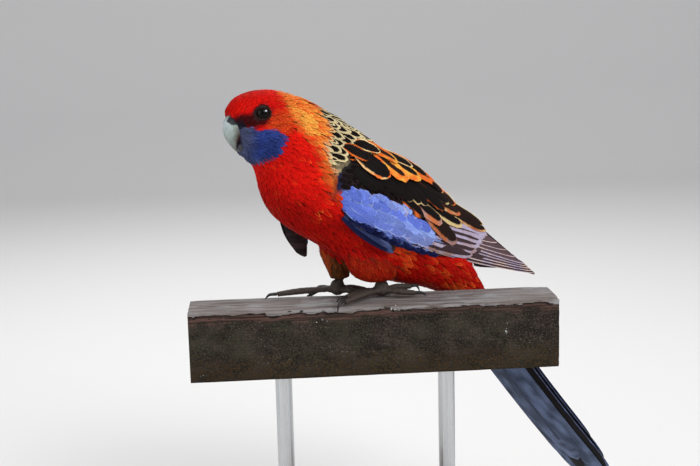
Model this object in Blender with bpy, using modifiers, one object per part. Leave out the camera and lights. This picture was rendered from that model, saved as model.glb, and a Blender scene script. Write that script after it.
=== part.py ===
"""A crimson rosella, life size, perched on a short length of timber rail on a display stand.

Units are metres and +Z is up. The origin is the centre of the underside of the stand's base,
which lies flat on the floor. The rail runs along X. The bird is described in its own frame,
in millimetres: x runs backward from the feet, y to the bird's right and z up from the rail's
top. That frame is turned about Z on the rail by BODY_TURN.
"""
import math

import bmesh
import bpy
from mathutils import Matrix, Vector

MM = 0.001
GAP = 0.3                  # clearance between neighbouring solids, mm

# stand and rail, mm
BASE_LENGTH = 220.0
BASE_DEPTH = 130.0
BASE_HEIGHT = 12.0
BASE_CORNER = 16.0
ROD_RADIUS = 5.0
ROD_X = (-42.0, 56.0)
RAIL_LENGTH = 217.0
RAIL_DEPTH = 34.0
RAIL_HEIGHT = 42.0
RAIL_CENTRE_X = 12.5
RAIL_TOP = 165.0

# bird, mm
BODY_TURN = 26.0           # degrees about Z, from the rail's length
BODY_Y = 6.0               # the bird's frame sits this far behind the rail's middle
BODY_SIDES = 24            # points around a body section
BODY_STEPS = 2             # rings between two named sections
OVAL_POWER = 2.2           # 2 is an ellipse, and more is fuller at the corners
EYE_RADIUS = 4.1
EYE_PLACE = (-59.4, 10.7, 114.6)
TAIL_LENGTH = 200.0
TAIL_ROOT = (62.4, 0.0, 12.4)
TAIL_TURN = -12.0          # degrees about Z in the bird's frame
TAIL_DROP = (57.0, 50.0)   # degrees below level, at the root and at the tip
TAIL_BANK = 33.0           # degrees, with the right edge lower
TAIL_BLADE = 0.9           # thickness of one tail feather
TAIL_EDGE = 0.55           # and of its edges
TAIL_LAYER = 1.5           # from one layer of feathers to the next
TAIL_TIP = 0.86            # share of a feather's length where its round tip begins
TAIL_STEPS = 10

# Body sections from the face to the vent: top x, z; bottom x, z; half width; side shift;
# roll in degrees, with the right side lower.
BODY = {
    "face": (-76.6, 116.6, -69.0, 96.0, 6.8, 0.0, 0.0),
    "forehead": (-70.6, 123.2, -64.6, 89.0, 11.4, 0.0, 0.0),
    "brow": (-60.4, 126.6, -59.4, 83.0, 14.4, 0.0, 0.0),
    "crown": (-49.5, 126.9, -56.8, 76.8, 16.0, 0.0, 0.0),
    "nape": (-37.5, 124.4, -56.2, 70.6, 17.4, 0.0, 0.0),
    "neck": (-26.0, 119.8, -54.4, 64.0, 20.0, 0.0, 0.0),
    "mantle": (-14.0, 113.2, -50.4, 56.6, 23.6, 0.0, 0.0),
    "shoulder": (-2.2, 106.0, -43.6, 49.2, 26.0, 0.0, 0.0),
    "breast": (10.5, 97.0, -34.4, 42.6, 27.0, 0.0, 0.0),
    "middle": (23.0, 87.0, -22.6, 35.4, 26.4, 0.0, 0.0),
    "belly": (35.0, 75.5, -9.0, 25.8, 25.0, 0.0, 0.0),
    "loin": (46.0, 64.0, 9.0, 14.8, 22.8, 0.0, 0.0),
    "hip": (60.0, 48.0, 29.0, 6.0, 19.0, 0.0, 0.0),
    "root": (77.0, 28.0, 51.0, -0.2, 16.4, -0.6, 4.0),
    "coverts": (87.0, 4.4, 69.6, -8.6, 14.2, -2.6, 14.0),
    "vent": (95.0, -16.8, 88.0, -21.4, 12.4, -5.0, 24.0),
}
BODY_NODES = (("head", "face", "nape"), ("neck", "nape", "shoulder"),
              ("trunk", "shoulder", "hip"), ("rump", "hip", "vent"))

# Wing sections from the shoulder to the tip: top x, side, z; bottom x, side, z; swell; depth.
WING = {
    "front": (-19.0, 21.5, 89.0, -23.5, 26.0, 64.0, 3.0, 12.0),
    "wrist": (-8.0, 20.5, 95.5, -13.8, 27.0, 52.4, 5.0, 14.0),
    "coverts": (8.0, 17.5, 91.0, 4.2, 26.2, 40.3, 7.8, 15.0),
    "arm": (23.0, 12.0, 86.6, 22.0, 24.6, 31.8, 8.8, 14.0),
    "elbow": (39.5, 6.5, 79.0, 39.6, 21.2, 25.8, 8.8, 12.0),
    "tertials": (57.0, 1.8, 67.4, 55.2, 17.6, 20.9, 7.2, 10.0),
    "hand": (73.5, 1.0, 53.0, 71.0, 13.6, 14.4, 4.6, 6.0),
    "quills": (90.0, 1.2, 37.5, 88.6, 9.6, 9.0, 2.6, 2.6),
    "late": (106.0, 1.4, 24.0, 104.4, 7.0, 6.0, 1.3, 1.6),
    "near_tip": (122.0, 1.3, 11.0, 119.8, 4.6, 2.8, 0.6, 1.2),
    "tip": (139.0, 1.2, -2.4, 138.2, 2.0, -3.6, 0.1, 0.8),
}
WING_NODES = (("coverts", "front", "arm"), ("secondaries", "arm", "hand"),
              ("primaries", "hand", "tip"))
WING_POINTS = 8            # points along one face of a wing section
WING_PARTING = 0.4         # each wing keeps this far from the middle plane
WING_DROOP = {"left": 0.0, "right": 9.0}    # how far the wrist hangs, mm

# The lobe of quills under each wrist: middle x, side, z; half breadth. It is steeper on the
# drooping right wing.
ALULA = {
    "left": ((-15.0, 26.4, 57.0, 2.4), (-5.0, 26.2, 49.4, 5.2), (5.0, 25.4, 41.2, 6.2),
             (12.6, 24.2, 35.0, 5.0), (17.4, 23.0, 30.8, 1.4)),
    "right": ((-31.0, 24.0, 53.0, 4.0), (-26.0, 26.0, 44.0, 5.6), (-21.6, 27.0, 35.5, 5.8),
              (-18.6, 27.0, 28.0, 4.4), (-16.4, 26.6, 23.4, 1.2)),
}
ALULA_DEPTH = 2.4

# Upper mandible sections from the forehead to the hooked tip: culmen x, z; cutting edge x, z;
# half width.
UPPER_BILL = ((-70.0, 116.0, -64.5, 104.0, 5.6), (-75.4, 113.8, -67.0, 101.5, 6.0),
              (-77.8, 110.2, -68.4, 100.0, 5.7), (-78.2, 105.2, -69.8, 98.8, 4.9),
              (-76.4, 100.0, -70.6, 97.2, 3.8), (-73.6, 96.0, -70.4, 95.6, 2.4),
              (-70.6, 93.2, -69.8, 93.8, 0.8))
LOWER_BILL = ((-59.0, 99.4, -57.5, 92.0, 5.2), (-63.6, 98.0, -61.6, 91.0, 5.0),
              (-66.8, 96.4, -65.2, 91.0, 4.0), (-68.6, 94.8, -67.6, 92.0, 2.6),
              (-69.4, 93.4, -69.0, 92.6, 1.0))

# Feet, in millimetres on the rail: X, Y and height above its top. Each toe has a knuckle, a
# tip, the bow of its claw and the claw's point.
ANKLE = {"left": (18.5, 5.5, 4.5), "right": (-7.5, 12.8, 4.5)}
TOES = {
    "left": {
        "front_outer": ((7.4, -4.6, 4.4), (-5.4, -15.8, 2.9), (-8.6, -18.8, 2.9),
                        (-9.8, -20.4, -2.2)),
        "front_inner": ((6.6, 4.0, 4.0), (-3.4, -2.6, 2.6), (-7.4, -5.4, 2.8),
                        (-9.4, -7.0, 0.8)),
        "rear_outer": ((28.6, 0.6, 4.0), (38.0, 0.4, 2.7), (42.0, 0.4, 2.8),
                       (44.6, 0.4, 0.8)),
        "rear_inner": ((28.6, 11.4, 4.4), (37.2, 13.8, 3.8), (41.0, 16.0, 3.6),
                       (43.0, 18.6, -0.4)),
    },
    "right": {
        "front_inner": ((-29.0, 11.6, 4.2), (-44.0, 11.4, 2.8), (-48.6, 10.4, 2.9),
                        (-51.2, 8.8, 0.7)),
        "front_outer": ((-17.6, 19.6, 3.6), (-24.4, 21.4, -0.8), (-26.4, 21.4, -5.2),
                        (-25.8, 19.8, -10.0)),
        "rear_inner": ((-0.4, 9.6, 3.8), (5.2, 8.9, 2.7), (8.4, 8.6, 2.8), (10.4, 8.4, 0.8)),
        "rear_outer": ((0.4, 16.0, 4.0), (7.4, 17.8, 2.8), (10.8, 20.0, 1.4),
                       (12.2, 20.4, -4.4)),
    },
}
PALM_RADIUS = 4.6
PALM_FLATNESS = 0.9
SHANK_RADIUS = 2.9
TOE_RADII = (1.6, 2.1, 1.6)
CLAW_RADII = (1.15, 0.95, 0.3)
# Thigh sections from the flank down: x, y, z, half length, half width, in the bird's frame.
THIGHS = {"left": ((3.0, -8.0, 36.0, 15.0, 7.0), (5.0, -12.2, 26.0, 16.0, 8.8),
                   (8.6, -12.4, 17.5, 15.4, 8.0), (12.0, -11.6, 13.0, 12.6, 6.6),
                   (14.4, -10.2, 10.4, 8.0, 5.2)),
          "right": ((-4.4, 10.0, 36.0, 11.6, 7.0), (-2.4, 13.0, 26.0, 10.6, 8.0),
                    (-1.6, 12.0, 17.5, 8.0, 6.6), (-1.6, 9.8, 10.6, 6.2, 4.8))}

# Tail feathers, named from the middle outward: side offset, width, share of the length,
# layer under the middle feather, roof slope in degrees.
TAIL = {
    "tail_centre": (0.0, 21.0, 1.0, 0, 0.0),
    "tail_left_inner": (-8.3, 15.6, 0.97, 1, -6.0),
    "tail_right_inner": (8.3, 15.6, 0.97, 1, 6.0),
    "tail_left_middle": (-10.4, 15.0, 0.91, 2, -9.0),
    "tail_right_middle": (10.4, 15.0, 0.91, 2, 9.0),
    "tail_left_outer": (-11.6, 13.6, 0.82, 3, -12.0),
    "tail_right_outer": (11.6, 13.6, 0.82, 3, 12.0),
}

# Colour (linear RGB), roughness, metallic
PAINT = {
    "crimson_feather": ((0.58, 0.012, 0.008), 0.75, 0.0),
    "orange_feather": ((0.62, 0.12, 0.02), 0.75, 0.0),
    "red_down": ((0.42, 0.03, 0.012), 0.8, 0.0),
    "black_feather": ((0.018, 0.012, 0.014), 0.6, 0.0),
    "blue_feather": ((0.13, 0.19, 0.55), 0.65, 0.0),
    "quill_brown": ((0.085, 0.055, 0.06), 0.6, 0.0),
    "tail_blue": ((0.05, 0.075, 0.17), 0.6, 0.0),
    "horn": ((0.42, 0.47, 0.45), 0.4, 0.0),
    "gape_horn": ((0.2, 0.19, 0.18), 0.5, 0.0),
    "eye": ((0.006, 0.005, 0.005), 0.08, 0.0),
    "foot_scale": ((0.085, 0.065, 0.055), 0.7, 0.0),
    "claw": ((0.02, 0.016, 0.015), 0.35, 0.0),
    "rail_timber": ((0.13, 0.115, 0.105), 0.9, 0.0),
    "stand_paint": ((0.045, 0.047, 0.05), 0.45, 0.0),
    "stand_steel": ((0.55, 0.56, 0.58), 0.3, 1.0),
}

SIGN = {"left": -1.0, "right": 1.0}
BIRD = (Matrix.Translation((0.0, BODY_Y * MM, RAIL_TOP * MM))
        @ Matrix.Rotation(math.radians(BODY_TURN), 4, "Z"))
ON_RAIL = Matrix.Translation((0.0, 0.0, RAIL_TOP * MM))


def make_material(name):
    """One Principled material from PAINT."""
    colour, roughness, metallic = PAINT[name]
    material = bpy.data.materials.new(name)
    material.use_nodes = True
    shader = material.node_tree.nodes["Principled BSDF"]
    shader.inputs["Base Color"].default_value = (*colour, 1.0)
    shader.inputs["Roughness"].default_value = roughness
    shader.inputs["Metallic"].default_value = metallic
    material.diffuse_color = (*colour, 1.0)
    return material


def add_object(name, mesh, material, collection, frame=None):
    """Link a mesh as a smooth-shaded object, with its material and its frame."""
    thing = bpy.data.objects.new(name, mesh)
    collection.objects.link(thing)
    mesh.materials.append(material)
    mesh.shade_smooth()
    mesh.set_sharp_from_angle(angle=math.radians(50.0))
    if frame is not None:
        thing.matrix_world = frame
    return thing


def smooth_rows(rows, steps):
    """Rows of numbers, with Catmull-Rom rows between each two of them."""
    result = []
    last = len(rows) - 1
    for i in range(last):
        before = rows[max(i - 1, 0)]
        start, end = rows[i], rows[i + 1]
        after = rows[min(i + 2, last)]
        for k in range(steps):
            t = k / steps
            row = []
            for a, b, c, d in zip(before, start, end, after):
                row.append(0.5 * (2 * b + (c - a) * t + (2 * a - 5 * b + 4 * c - d) * t ** 2
                                  + (3 * b - a - 3 * c + d) * t ** 3))
            result.append(row)
    result.append(list(rows[-1]))
    return result


def loft(name, rings):
    """A closed mesh through rings of points, with flat ends."""
    bm = bmesh.new()
    layers = [[bm.verts.new(Vector(point) * MM) for point in ring] for ring in rings]
    count = len(layers[0])
    for lower, upper in zip(layers, layers[1:]):
        for k in range(count):
            n = (k + 1) % count
            bm.faces.new((lower[k], lower[n], upper[n], upper[k]))
    bm.faces.new(layers[0])
    bm.faces.new(layers[-1])
    bmesh.ops.recalc_face_normals(bm, faces=bm.faces)
    mesh = bpy.data.meshes.new(name)
    bm.to_mesh(mesh)
    bm.free()
    return mesh


def oval(top_x, top_z, low_x, low_z, half_width, shift=0.0, roll=0.0, sides=BODY_SIDES,
         grow=0.0):
    """An oval section from a top point to a bottom point, shifted sideways and rolled."""
    top = Vector((top_x, shift, top_z))
    low = Vector((low_x, shift, low_z))
    middle = (top + low) / 2
    reach = (top - low) / 2
    reach += reach.normalized() * grow
    across = Vector((0.0, half_width + grow, 0.0))
    full = 2.0 / OVAL_POWER
    turn = Matrix.Rotation(math.radians(roll), 3, reach.cross(across))
    ring = []
    for k in range(sides):
        up = math.cos(2 * math.pi * k / sides)
        out = math.sin(2 * math.pi * k / sides)
        up = math.copysign(abs(up) ** full, up)
        out = math.copysign(abs(out) ** full, out)
        ring.append(middle + turn @ (reach * up + across * out))
    return ring


def body_rings(first, last, grow=0.0, inset=0.0):
    """Rings of the body between two named sections, pulled in at each parting."""
    names = list(BODY)
    rows = smooth_rows(list(BODY.values()), BODY_STEPS)
    start = names.index(first) * BODY_STEPS
    end = names.index(last) * BODY_STEPS
    picked = [list(row) for row in rows[start:end + 1]]
    if inset and first != names[0]:
        picked[0] = blend(picked[0], picked[1], inset)
    if inset and last != names[-1]:
        picked[-1] = blend(picked[-1], picked[-2], inset)
    return [oval(*row, grow=grow) for row in picked]


def blend(row, other, share):
    """A row a share of the way to another."""
    return [a + (b - a) * share for a, b in zip(row, other)]


def wing_row_rings(rows, side, grow=0.0):
    """Closed wing sections: the outer face from top to bottom, then back up the inner face."""
    sign = SIGN[side]
    rings = []
    for top_x, top_y, top_z, low_x, low_y, low_z, swell, depth in rows:
        outer = []
        inner = []
        chord = math.hypot(low_x - top_x, low_z - top_z)
        for k in range(WING_POINTS):
            t = k / (WING_POINTS - 1)
            bow = (4 * t * (1 - t)) ** 0.75
            reach = t + (2 * t - 1) * grow / chord
            x = top_x + (low_x - top_x) * reach
            y = top_y + (low_y - top_y) * t + swell * bow
            z = top_z + (low_z - top_z) * reach
            deep = 0.8 + (depth - 0.8) * min(1.0, bow * 1.6)
            outer.append((x, sign * (y + grow), z))
            inner.append((x, sign * max(WING_PARTING, y - deep - grow), z))
        rings.append(outer + inner[::-1])
    return rings


def wing_rows(side):
    """The wing's sections for one side: the wrist of the drooping wing hangs lower."""
    droop = WING_DROOP[side]
    rows = []
    for row in WING.values():
        top_x, top_y, top_z, low_x, low_y, low_z, swell, depth = row
        share = max(0.0, min(1.0, (45.0 - low_x) / 68.0))
        rows.append((top_x - droop * 0.4 * share, top_y, top_z - droop * 0.3 * share,
                     low_x - droop * share, low_y, low_z - droop * share, swell, depth))
    return rows


def cut(thing, cutter):
    """Take one object away from another, and keep the largest body that is left."""
    modifier = thing.modifiers.new("cut", "BOOLEAN")
    modifier.operation = "DIFFERENCE"
    modifier.solver = "EXACT"
    modifier.object = cutter
    bpy.context.view_layer.update()
    graph = bpy.context.evaluated_depsgraph_get()
    mesh = bpy.data.meshes.new_from_object(thing.evaluated_get(graph))
    thing.modifiers.remove(modifier)
    keep_largest(mesh)
    thing.data = mesh


def keep_largest(mesh):
    """Drop every loose body of a mesh but the one with the most faces."""
    bm = bmesh.new()
    bm.from_mesh(mesh)
    bmesh.ops.remove_doubles(bm, verts=bm.verts, dist=0.00002)
    bmesh.ops.dissolve_degenerate(bm, edges=bm.edges, dist=0.00002)
    seen = set()
    bodies = []
    for face in bm.faces:
        if face in seen:
            continue
        body = []
        front = [face]
        seen.add(face)
        while front:
            here = front.pop()
            body.append(here)
            for edge in here.edges:
                for neighbour in edge.link_faces:
                    if neighbour not in seen:
                        seen.add(neighbour)
                        front.append(neighbour)
        bodies.append(body)
    bodies.sort(key=len)
    for body in bodies[:-1]:
        bmesh.ops.delete(bm, geom=body, context="FACES")
    bm.to_mesh(mesh)
    bm.free()


def add_cutter(name, mesh, collection, frame):
    """A hidden body that other objects are cut by."""
    thing = bpy.data.objects.new(name, mesh)
    collection.objects.link(thing)
    thing.matrix_world = frame
    thing.hide_render = True
    thing.display_type = "WIRE"
    return thing


def add_tube(name, points, radii, material, collection, frame):
    """A tapered tube with filled caps along a few points, made a mesh."""
    curve = bpy.data.curves.new(name, "CURVE")
    curve.dimensions = "3D"
    curve.bevel_depth = MM
    curve.bevel_resolution = 2
    curve.use_fill_caps = True
    path = smooth_rows([(*point, radius) for point, radius in zip(points, radii)], 3)
    spline = curve.splines.new("POLY")
    spline.points.add(len(path) - 1)
    for place, (x, y, z, radius) in zip(spline.points, path):
        place.co = (x * MM, y * MM, z * MM, 1.0)
        place.radius = radius
    holder = bpy.data.objects.new(name + "_curve", curve)
    collection.objects.link(holder)
    bpy.context.view_layer.update()
    graph = bpy.context.evaluated_depsgraph_get()
    mesh = bpy.data.meshes.new_from_object(holder.evaluated_get(graph))
    bpy.data.objects.remove(holder)
    bpy.data.curves.remove(curve)
    bm = bmesh.new()
    bm.from_mesh(mesh)
    bmesh.ops.remove_doubles(bm, verts=bm.verts, dist=0.00001)
    bmesh.ops.recalc_face_normals(bm, faces=bm.faces)
    bm.to_mesh(mesh)
    bm.free()
    mesh.materials.clear()
    return add_object(name, mesh, material, collection, frame)


def build_body(materials, parts, cutters):
    """Head, neck, trunk and rump, parted by thin cuts, with sockets for the eyes."""
    paints = {"head": "crimson_feather", "neck": "orange_feather",
              "trunk": "crimson_feather", "rump": "red_down"}
    nodes = {}
    for name, first, last in BODY_NODES:
        mesh = loft(name, body_rings(first, last, inset=0.07))
        nodes[name] = add_object(name, mesh, materials[paints[name]], parts, BIRD)
    whole = loft("body_clearance", body_rings("face", "vent", grow=GAP))
    clearance = add_cutter("body_clearance", whole, cutters, BIRD)
    for side, sign in SIGN.items():
        place = Vector((EYE_PLACE[0], sign * EYE_PLACE[1], EYE_PLACE[2])) * MM
        for kind, radius in (("eye", EYE_RADIUS), ("socket", EYE_RADIUS + GAP)):
            bm = bmesh.new()
            bmesh.ops.create_uvsphere(bm, u_segments=16, v_segments=9, radius=radius * MM)
            bmesh.ops.translate(bm, verts=bm.verts, vec=place)
            mesh = bpy.data.meshes.new(f"{kind}_{side}")
            bm.to_mesh(mesh)
            bm.free()
            if kind == "eye":
                add_object(f"eye_{side}", mesh, materials["eye"], parts, BIRD)
            else:
                cut(nodes["head"], add_cutter(f"socket_{side}", mesh, cutters, BIRD))
    return clearance


def build_bill(materials, parts, cutters, clearance):
    """The hooked upper mandible and the short lower one, fitted to the face and each other."""
    upper_rows = smooth_rows(UPPER_BILL, 2)
    lower_rows = smooth_rows(LOWER_BILL, 2)
    upper = loft("bill_upper", [oval(*row, sides=14) for row in upper_rows])
    lower = loft("bill_lower", [oval(*row, sides=14) for row in lower_rows])
    above = loft("bill_clearance", [oval(*row, sides=14, grow=GAP) for row in upper_rows])
    bite = add_cutter("bill_clearance", above, cutters, BIRD)
    cut(add_object("bill_upper", upper, materials["horn"], parts, BIRD), clearance)
    chin = add_object("bill_lower", lower, materials["gape_horn"], parts, BIRD)
    cut(chin, bite)
    cut(chin, clearance)


def build_wings(materials, parts, cutters, clearance):
    """Each folded wing: coverts, secondaries, primaries, and the lobe under its wrist."""
    paints = {"coverts": "black_feather", "secondaries": "quill_brown",
              "primaries": "quill_brown"}
    names = list(WING)
    for side in ("left", "right"):
        rows = smooth_rows(wing_rows(side), 2)
        for part, first, last in WING_NODES:
            start = names.index(first) * 2
            end = names.index(last) * 2
            picked = [list(row) for row in rows[start:end + 1]]
            if first != names[0]:
                picked[0] = blend(picked[0], picked[1], 0.06)
            name = f"wing_{side}_{part}"
            thing = add_object(name, loft(name, wing_row_rings(picked, side)),
                               materials[paints[part]], parts, BIRD)
            cut(thing, clearance)
        name = f"wing_{side}_alula"
        over = loft(f"{name}_clearance", wing_row_rings(rows, side, grow=2 * GAP))
        lobe = add_object(name, loft(name, alula_rings(side)), materials["black_feather"],
                          parts, BIRD)
        cut(lobe, add_cutter(f"{name}_clearance", over, cutters, BIRD))
        cut(lobe, clearance)


def alula_rings(side):
    """Lens-shaped sections of the lobe, square to its line in the side view."""
    rows = smooth_rows(ALULA[side], 2)
    line = Vector((rows[-1][0] - rows[0][0], 0.0, rows[-1][2] - rows[0][2])).normalized()
    square = Vector((line.z, 0.0, -line.x))
    rings = []
    for x, y, z, half in rows:
        middle = Vector((x, SIGN[side] * (y - ALULA_DEPTH / 2), z))
        ring = []
        for k in range(10):
            angle = 2 * math.pi * k / 10
            swell = Vector((0.0, ALULA_DEPTH / 2 * math.sin(angle), 0.0))
            ring.append(middle + square * half * math.cos(angle) + swell)
        rings.append(ring)
    return rings


def tail_rings(offset, width, share, layer, slope):
    """Rings of one tail blade along the tail's bent, banked line."""
    turn = Matrix.Rotation(math.radians(TAIL_TURN), 3, "Z")
    level = turn @ Vector((0.0, 1.0, 0.0))
    place = Vector(TAIL_ROOT)
    rings = []
    for k in range(TAIL_STEPS + 1):
        s = k / TAIL_STEPS
        drop = math.radians(TAIL_DROP[0] + (TAIL_DROP[1] - TAIL_DROP[0]) * s * share)
        along = turn @ Vector((math.cos(drop), 0.0, -math.sin(drop)))
        across = Matrix.Rotation(math.radians(-TAIL_BANK), 3, along) @ level
        upper = across.cross(along)
        tilt = Matrix.Rotation(math.radians(-slope), 3, along)
        edge = tilt @ across
        face = tilt @ upper
        spread = min(1.0, 0.5 + 1.6 * s)
        tip = max(0.0, (s - TAIL_TIP) / (1.0 - TAIL_TIP))
        half = max(0.8, width / 2 * spread * math.sqrt(1.0 - tip ** 2.4))
        middle = place + across * offset * spread - upper * layer * TAIL_LAYER
        outline = ((-1.0, TAIL_EDGE), (-0.4, TAIL_BLADE), (0.4, TAIL_BLADE), (1.0, TAIL_EDGE))
        under = [middle + edge * half * u - face * thick / 2 for u, thick in outline]
        over = [middle + edge * half * u + face * thick / 2 for u, thick in outline]
        rings.append(under + over[::-1])
        place = place + along * (TAIL_LENGTH * share / TAIL_STEPS)
    return rings


def build_tail(materials, parts, clearance):
    """Seven stacked blades, like a low roof, banked and bent down behind the rail."""
    for name, row in TAIL.items():
        thing = add_object(name, loft(name, tail_rings(*row)), materials["tail_blue"], parts,
                           BIRD)
        cut(thing, clearance)


def build_legs(materials, parts, clearance):
    """Feathered thighs, short shanks, and feet with two toes before and two behind."""
    for side in ("left", "right"):
        rings = [level_circle(Vector((x, y, z)), reach, half, 14)
                 for x, y, z, reach, half in smooth_rows(THIGHS[side], 3)]
        name = f"thigh_{side}"
        thigh = add_object(name, loft(name, rings), materials["red_down"], parts, BIRD)
        cut(thigh, clearance)
        ankle = Vector(ANKLE[side])
        add_palm(f"foot_{side}", ankle, materials["foot_scale"], parts)
        add_shank(side, ankle, materials["foot_scale"], parts)
        for toe, (knuckle, tip, bow, point) in TOES[side].items():
            toward = (Vector(knuckle) - ankle).normalized()
            start = ankle + toward * (PALM_RADIUS + 2 * GAP)
            add_tube(f"toe_{side}_{toe}", (start, knuckle, tip), TOE_RADII,
                     materials["foot_scale"], parts, ON_RAIL)
            root = Vector(tip) + (Vector(bow) - Vector(tip)).normalized() * 2 * GAP
            add_tube(f"claw_{side}_{toe}", (root, bow, point), CLAW_RADII,
                     materials["claw"], parts, ON_RAIL)


def add_palm(name, ankle, material, parts):
    """The flattened ball where the toes meet."""
    bm = bmesh.new()
    bmesh.ops.create_uvsphere(bm, u_segments=12, v_segments=7, radius=PALM_RADIUS * MM)
    bmesh.ops.scale(bm, verts=bm.verts, vec=(1.0, 1.0, PALM_FLATNESS))
    bmesh.ops.translate(bm, verts=bm.verts, vec=ankle * MM)
    mesh = bpy.data.meshes.new(name)
    bm.to_mesh(mesh)
    bm.free()
    add_object(name, mesh, material, parts, ON_RAIL)


def add_shank(side, ankle, material, parts):
    """The short bare shank between the palm and the feathered thigh."""
    x, y, z, _, _ = THIGHS[side][-1]
    top = (ON_RAIL.inverted() @ BIRD @ (Vector((x, y, z - GAP)) * MM)) / MM
    low = ankle + Vector((0.0, 0.0, PALM_RADIUS * PALM_FLATNESS + GAP))
    rings = []
    for k in range(4):
        centre = low.lerp(top, k / 3)
        rings.append(level_circle(centre, SHANK_RADIUS, SHANK_RADIUS, 12))
    add_object(f"shank_{side}", loft(f"shank_{side}", rings), material, parts, ON_RAIL)


def level_circle(centre, reach, half, sides):
    """A level oval of points round a centre."""
    steps = [2 * math.pi * k / sides for k in range(sides)]
    return [centre + Vector((reach * math.cos(a), half * math.sin(a), 0.0)) for a in steps]


def build_rail(materials, parts):
    """A short cut length of square timber rail with worn edges."""
    bm = bmesh.new()
    bmesh.ops.create_cube(bm, size=1.0)
    bmesh.ops.scale(bm, verts=bm.verts, vec=(RAIL_LENGTH * MM, RAIL_DEPTH * MM, RAIL_HEIGHT * MM))
    mesh = bpy.data.meshes.new("perch_rail")
    bm.to_mesh(mesh)
    bm.free()
    centre = Vector((RAIL_CENTRE_X, 0.0, RAIL_TOP - RAIL_HEIGHT / 2)) * MM
    rail = add_object("perch_rail", mesh, materials["rail_timber"], parts,
                      Matrix.Translation(centre))
    bevel = rail.modifiers.new("worn_edges", "BEVEL")
    bevel.width = 1.2 * MM
    bevel.segments = 2


def build_stand(materials, parts):
    """A flat base with two round rods up to the rail."""
    bm = bmesh.new()
    bmesh.ops.create_cube(bm, size=1.0)
    bmesh.ops.scale(bm, verts=bm.verts, vec=(BASE_LENGTH * MM, BASE_DEPTH * MM, BASE_HEIGHT * MM))
    bmesh.ops.translate(bm, verts=bm.verts, vec=(0.0, 0.0, BASE_HEIGHT / 2 * MM))
    upright = [edge for edge in bm.edges
               if abs(edge.verts[0].co.z - edge.verts[1].co.z) > BASE_HEIGHT / 2 * MM]
    bmesh.ops.bevel(bm, geom=upright, offset=BASE_CORNER * MM, segments=6, affect="EDGES",
                    profile=0.5)
    mesh = bpy.data.meshes.new("stand_base")
    bm.to_mesh(mesh)
    bm.free()
    add_object("stand_base", mesh, materials["stand_paint"], parts)
    height = RAIL_TOP - RAIL_HEIGHT - BASE_HEIGHT - 2 * GAP
    for number, x in enumerate(ROD_X, start=1):
        bm = bmesh.new()
        bmesh.ops.create_cone(bm, cap_ends=True, segments=20, radius1=ROD_RADIUS * MM,
                              radius2=ROD_RADIUS * MM, depth=height * MM)
        mesh = bpy.data.meshes.new(f"stand_rod_{number}")
        bm.to_mesh(mesh)
        bm.free()
        middle = Vector((x, 0.0, BASE_HEIGHT + GAP + height / 2)) * MM
        add_object(f"stand_rod_{number}", mesh, materials["stand_steel"], parts,
                   Matrix.Translation(middle))


def main():
    """Build the bird, its rail and its stand."""
    for thing in list(bpy.data.objects):
        bpy.data.objects.remove(thing)
    scene = bpy.context.scene
    parts = bpy.data.collections.new("crimson_rosella")
    cutters = bpy.data.collections.new("cutters")
    scene.collection.children.link(parts)
    scene.collection.children.link(cutters)
    materials = {name: make_material(name) for name in PAINT}
    clearance = build_body(materials, parts, cutters)
    build_bill(materials, parts, cutters, clearance)
    build_wings(materials, parts, cutters, clearance)
    build_tail(materials, parts, clearance)
    build_legs(materials, parts, clearance)
    build_rail(materials, parts)
    build_stand(materials, parts)


main()
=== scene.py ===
"""Looks of a crimson rosella that stands on a short cut length of weathered rail.

The file is laid out as an add-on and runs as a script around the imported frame.
Places on the bird are in millimetres in the bird's own frame: x toward the tail, y to the
bird's right, and z above the rail's top.
"""

import math
from contextlib import contextmanager
from functools import cache

import bmesh
import bpy
import numpy as np
from bpy.props import FloatProperty, FloatVectorProperty, IntProperty, PointerProperty
from mathutils import Matrix, Vector
from mathutils.bvhtree import BVHTree
from mathutils.kdtree import KDTree


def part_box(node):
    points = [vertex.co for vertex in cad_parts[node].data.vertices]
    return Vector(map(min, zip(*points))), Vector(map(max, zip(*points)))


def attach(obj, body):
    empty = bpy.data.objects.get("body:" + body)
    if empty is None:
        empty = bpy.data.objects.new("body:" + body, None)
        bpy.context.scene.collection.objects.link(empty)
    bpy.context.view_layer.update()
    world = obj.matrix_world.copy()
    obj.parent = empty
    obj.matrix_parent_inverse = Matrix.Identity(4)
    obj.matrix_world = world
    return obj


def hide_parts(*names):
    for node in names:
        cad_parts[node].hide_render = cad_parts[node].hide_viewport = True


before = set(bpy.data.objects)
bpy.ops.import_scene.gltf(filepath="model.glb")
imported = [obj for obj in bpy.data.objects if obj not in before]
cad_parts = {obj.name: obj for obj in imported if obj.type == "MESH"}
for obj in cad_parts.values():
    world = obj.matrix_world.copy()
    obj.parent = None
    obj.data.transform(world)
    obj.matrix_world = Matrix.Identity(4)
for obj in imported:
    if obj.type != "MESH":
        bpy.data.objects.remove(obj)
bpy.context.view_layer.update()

bl_info = {
    "name": "Crimson Rosella on a Perch",
    "version": (1, 0, 0),
    "blender": (4, 5, 0),
    "location": "View3D > Sidebar > Rosella",
    "description": "Builds the skin, feathers, bill, eyes, feet and timber around the frame",
    "category": "Object",
}

MM = 0.001
BODY_TURN = math.radians(26.0)     # the bird's line against the rail's
BODY_Y = 6.0                       # how far right of the rail's middle the bird stands
RAIL_TOP = 165.0
SIDES = ("left", "right")
SIGN = {"left": -1.0, "right": 1.0}

# Camera: its sensor's width in millimetres and what it looks at in metres.
SENSOR_WIDTH = 36.0
AIM = (0.0, 0.0, 0.2055)

# Lamps: each one's place, its size and its power, and what they all light, in metres.
LAMPS = (((0.75, -0.85, 1.05), 0.7, 15.0), ((-0.9, -0.7, 0.55), 0.9, 5.5),
         ((-0.1, 0.75, 1.15), 0.8, 9.0))
LAMP_AIM = (0.0, 0.0, 0.2)

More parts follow.
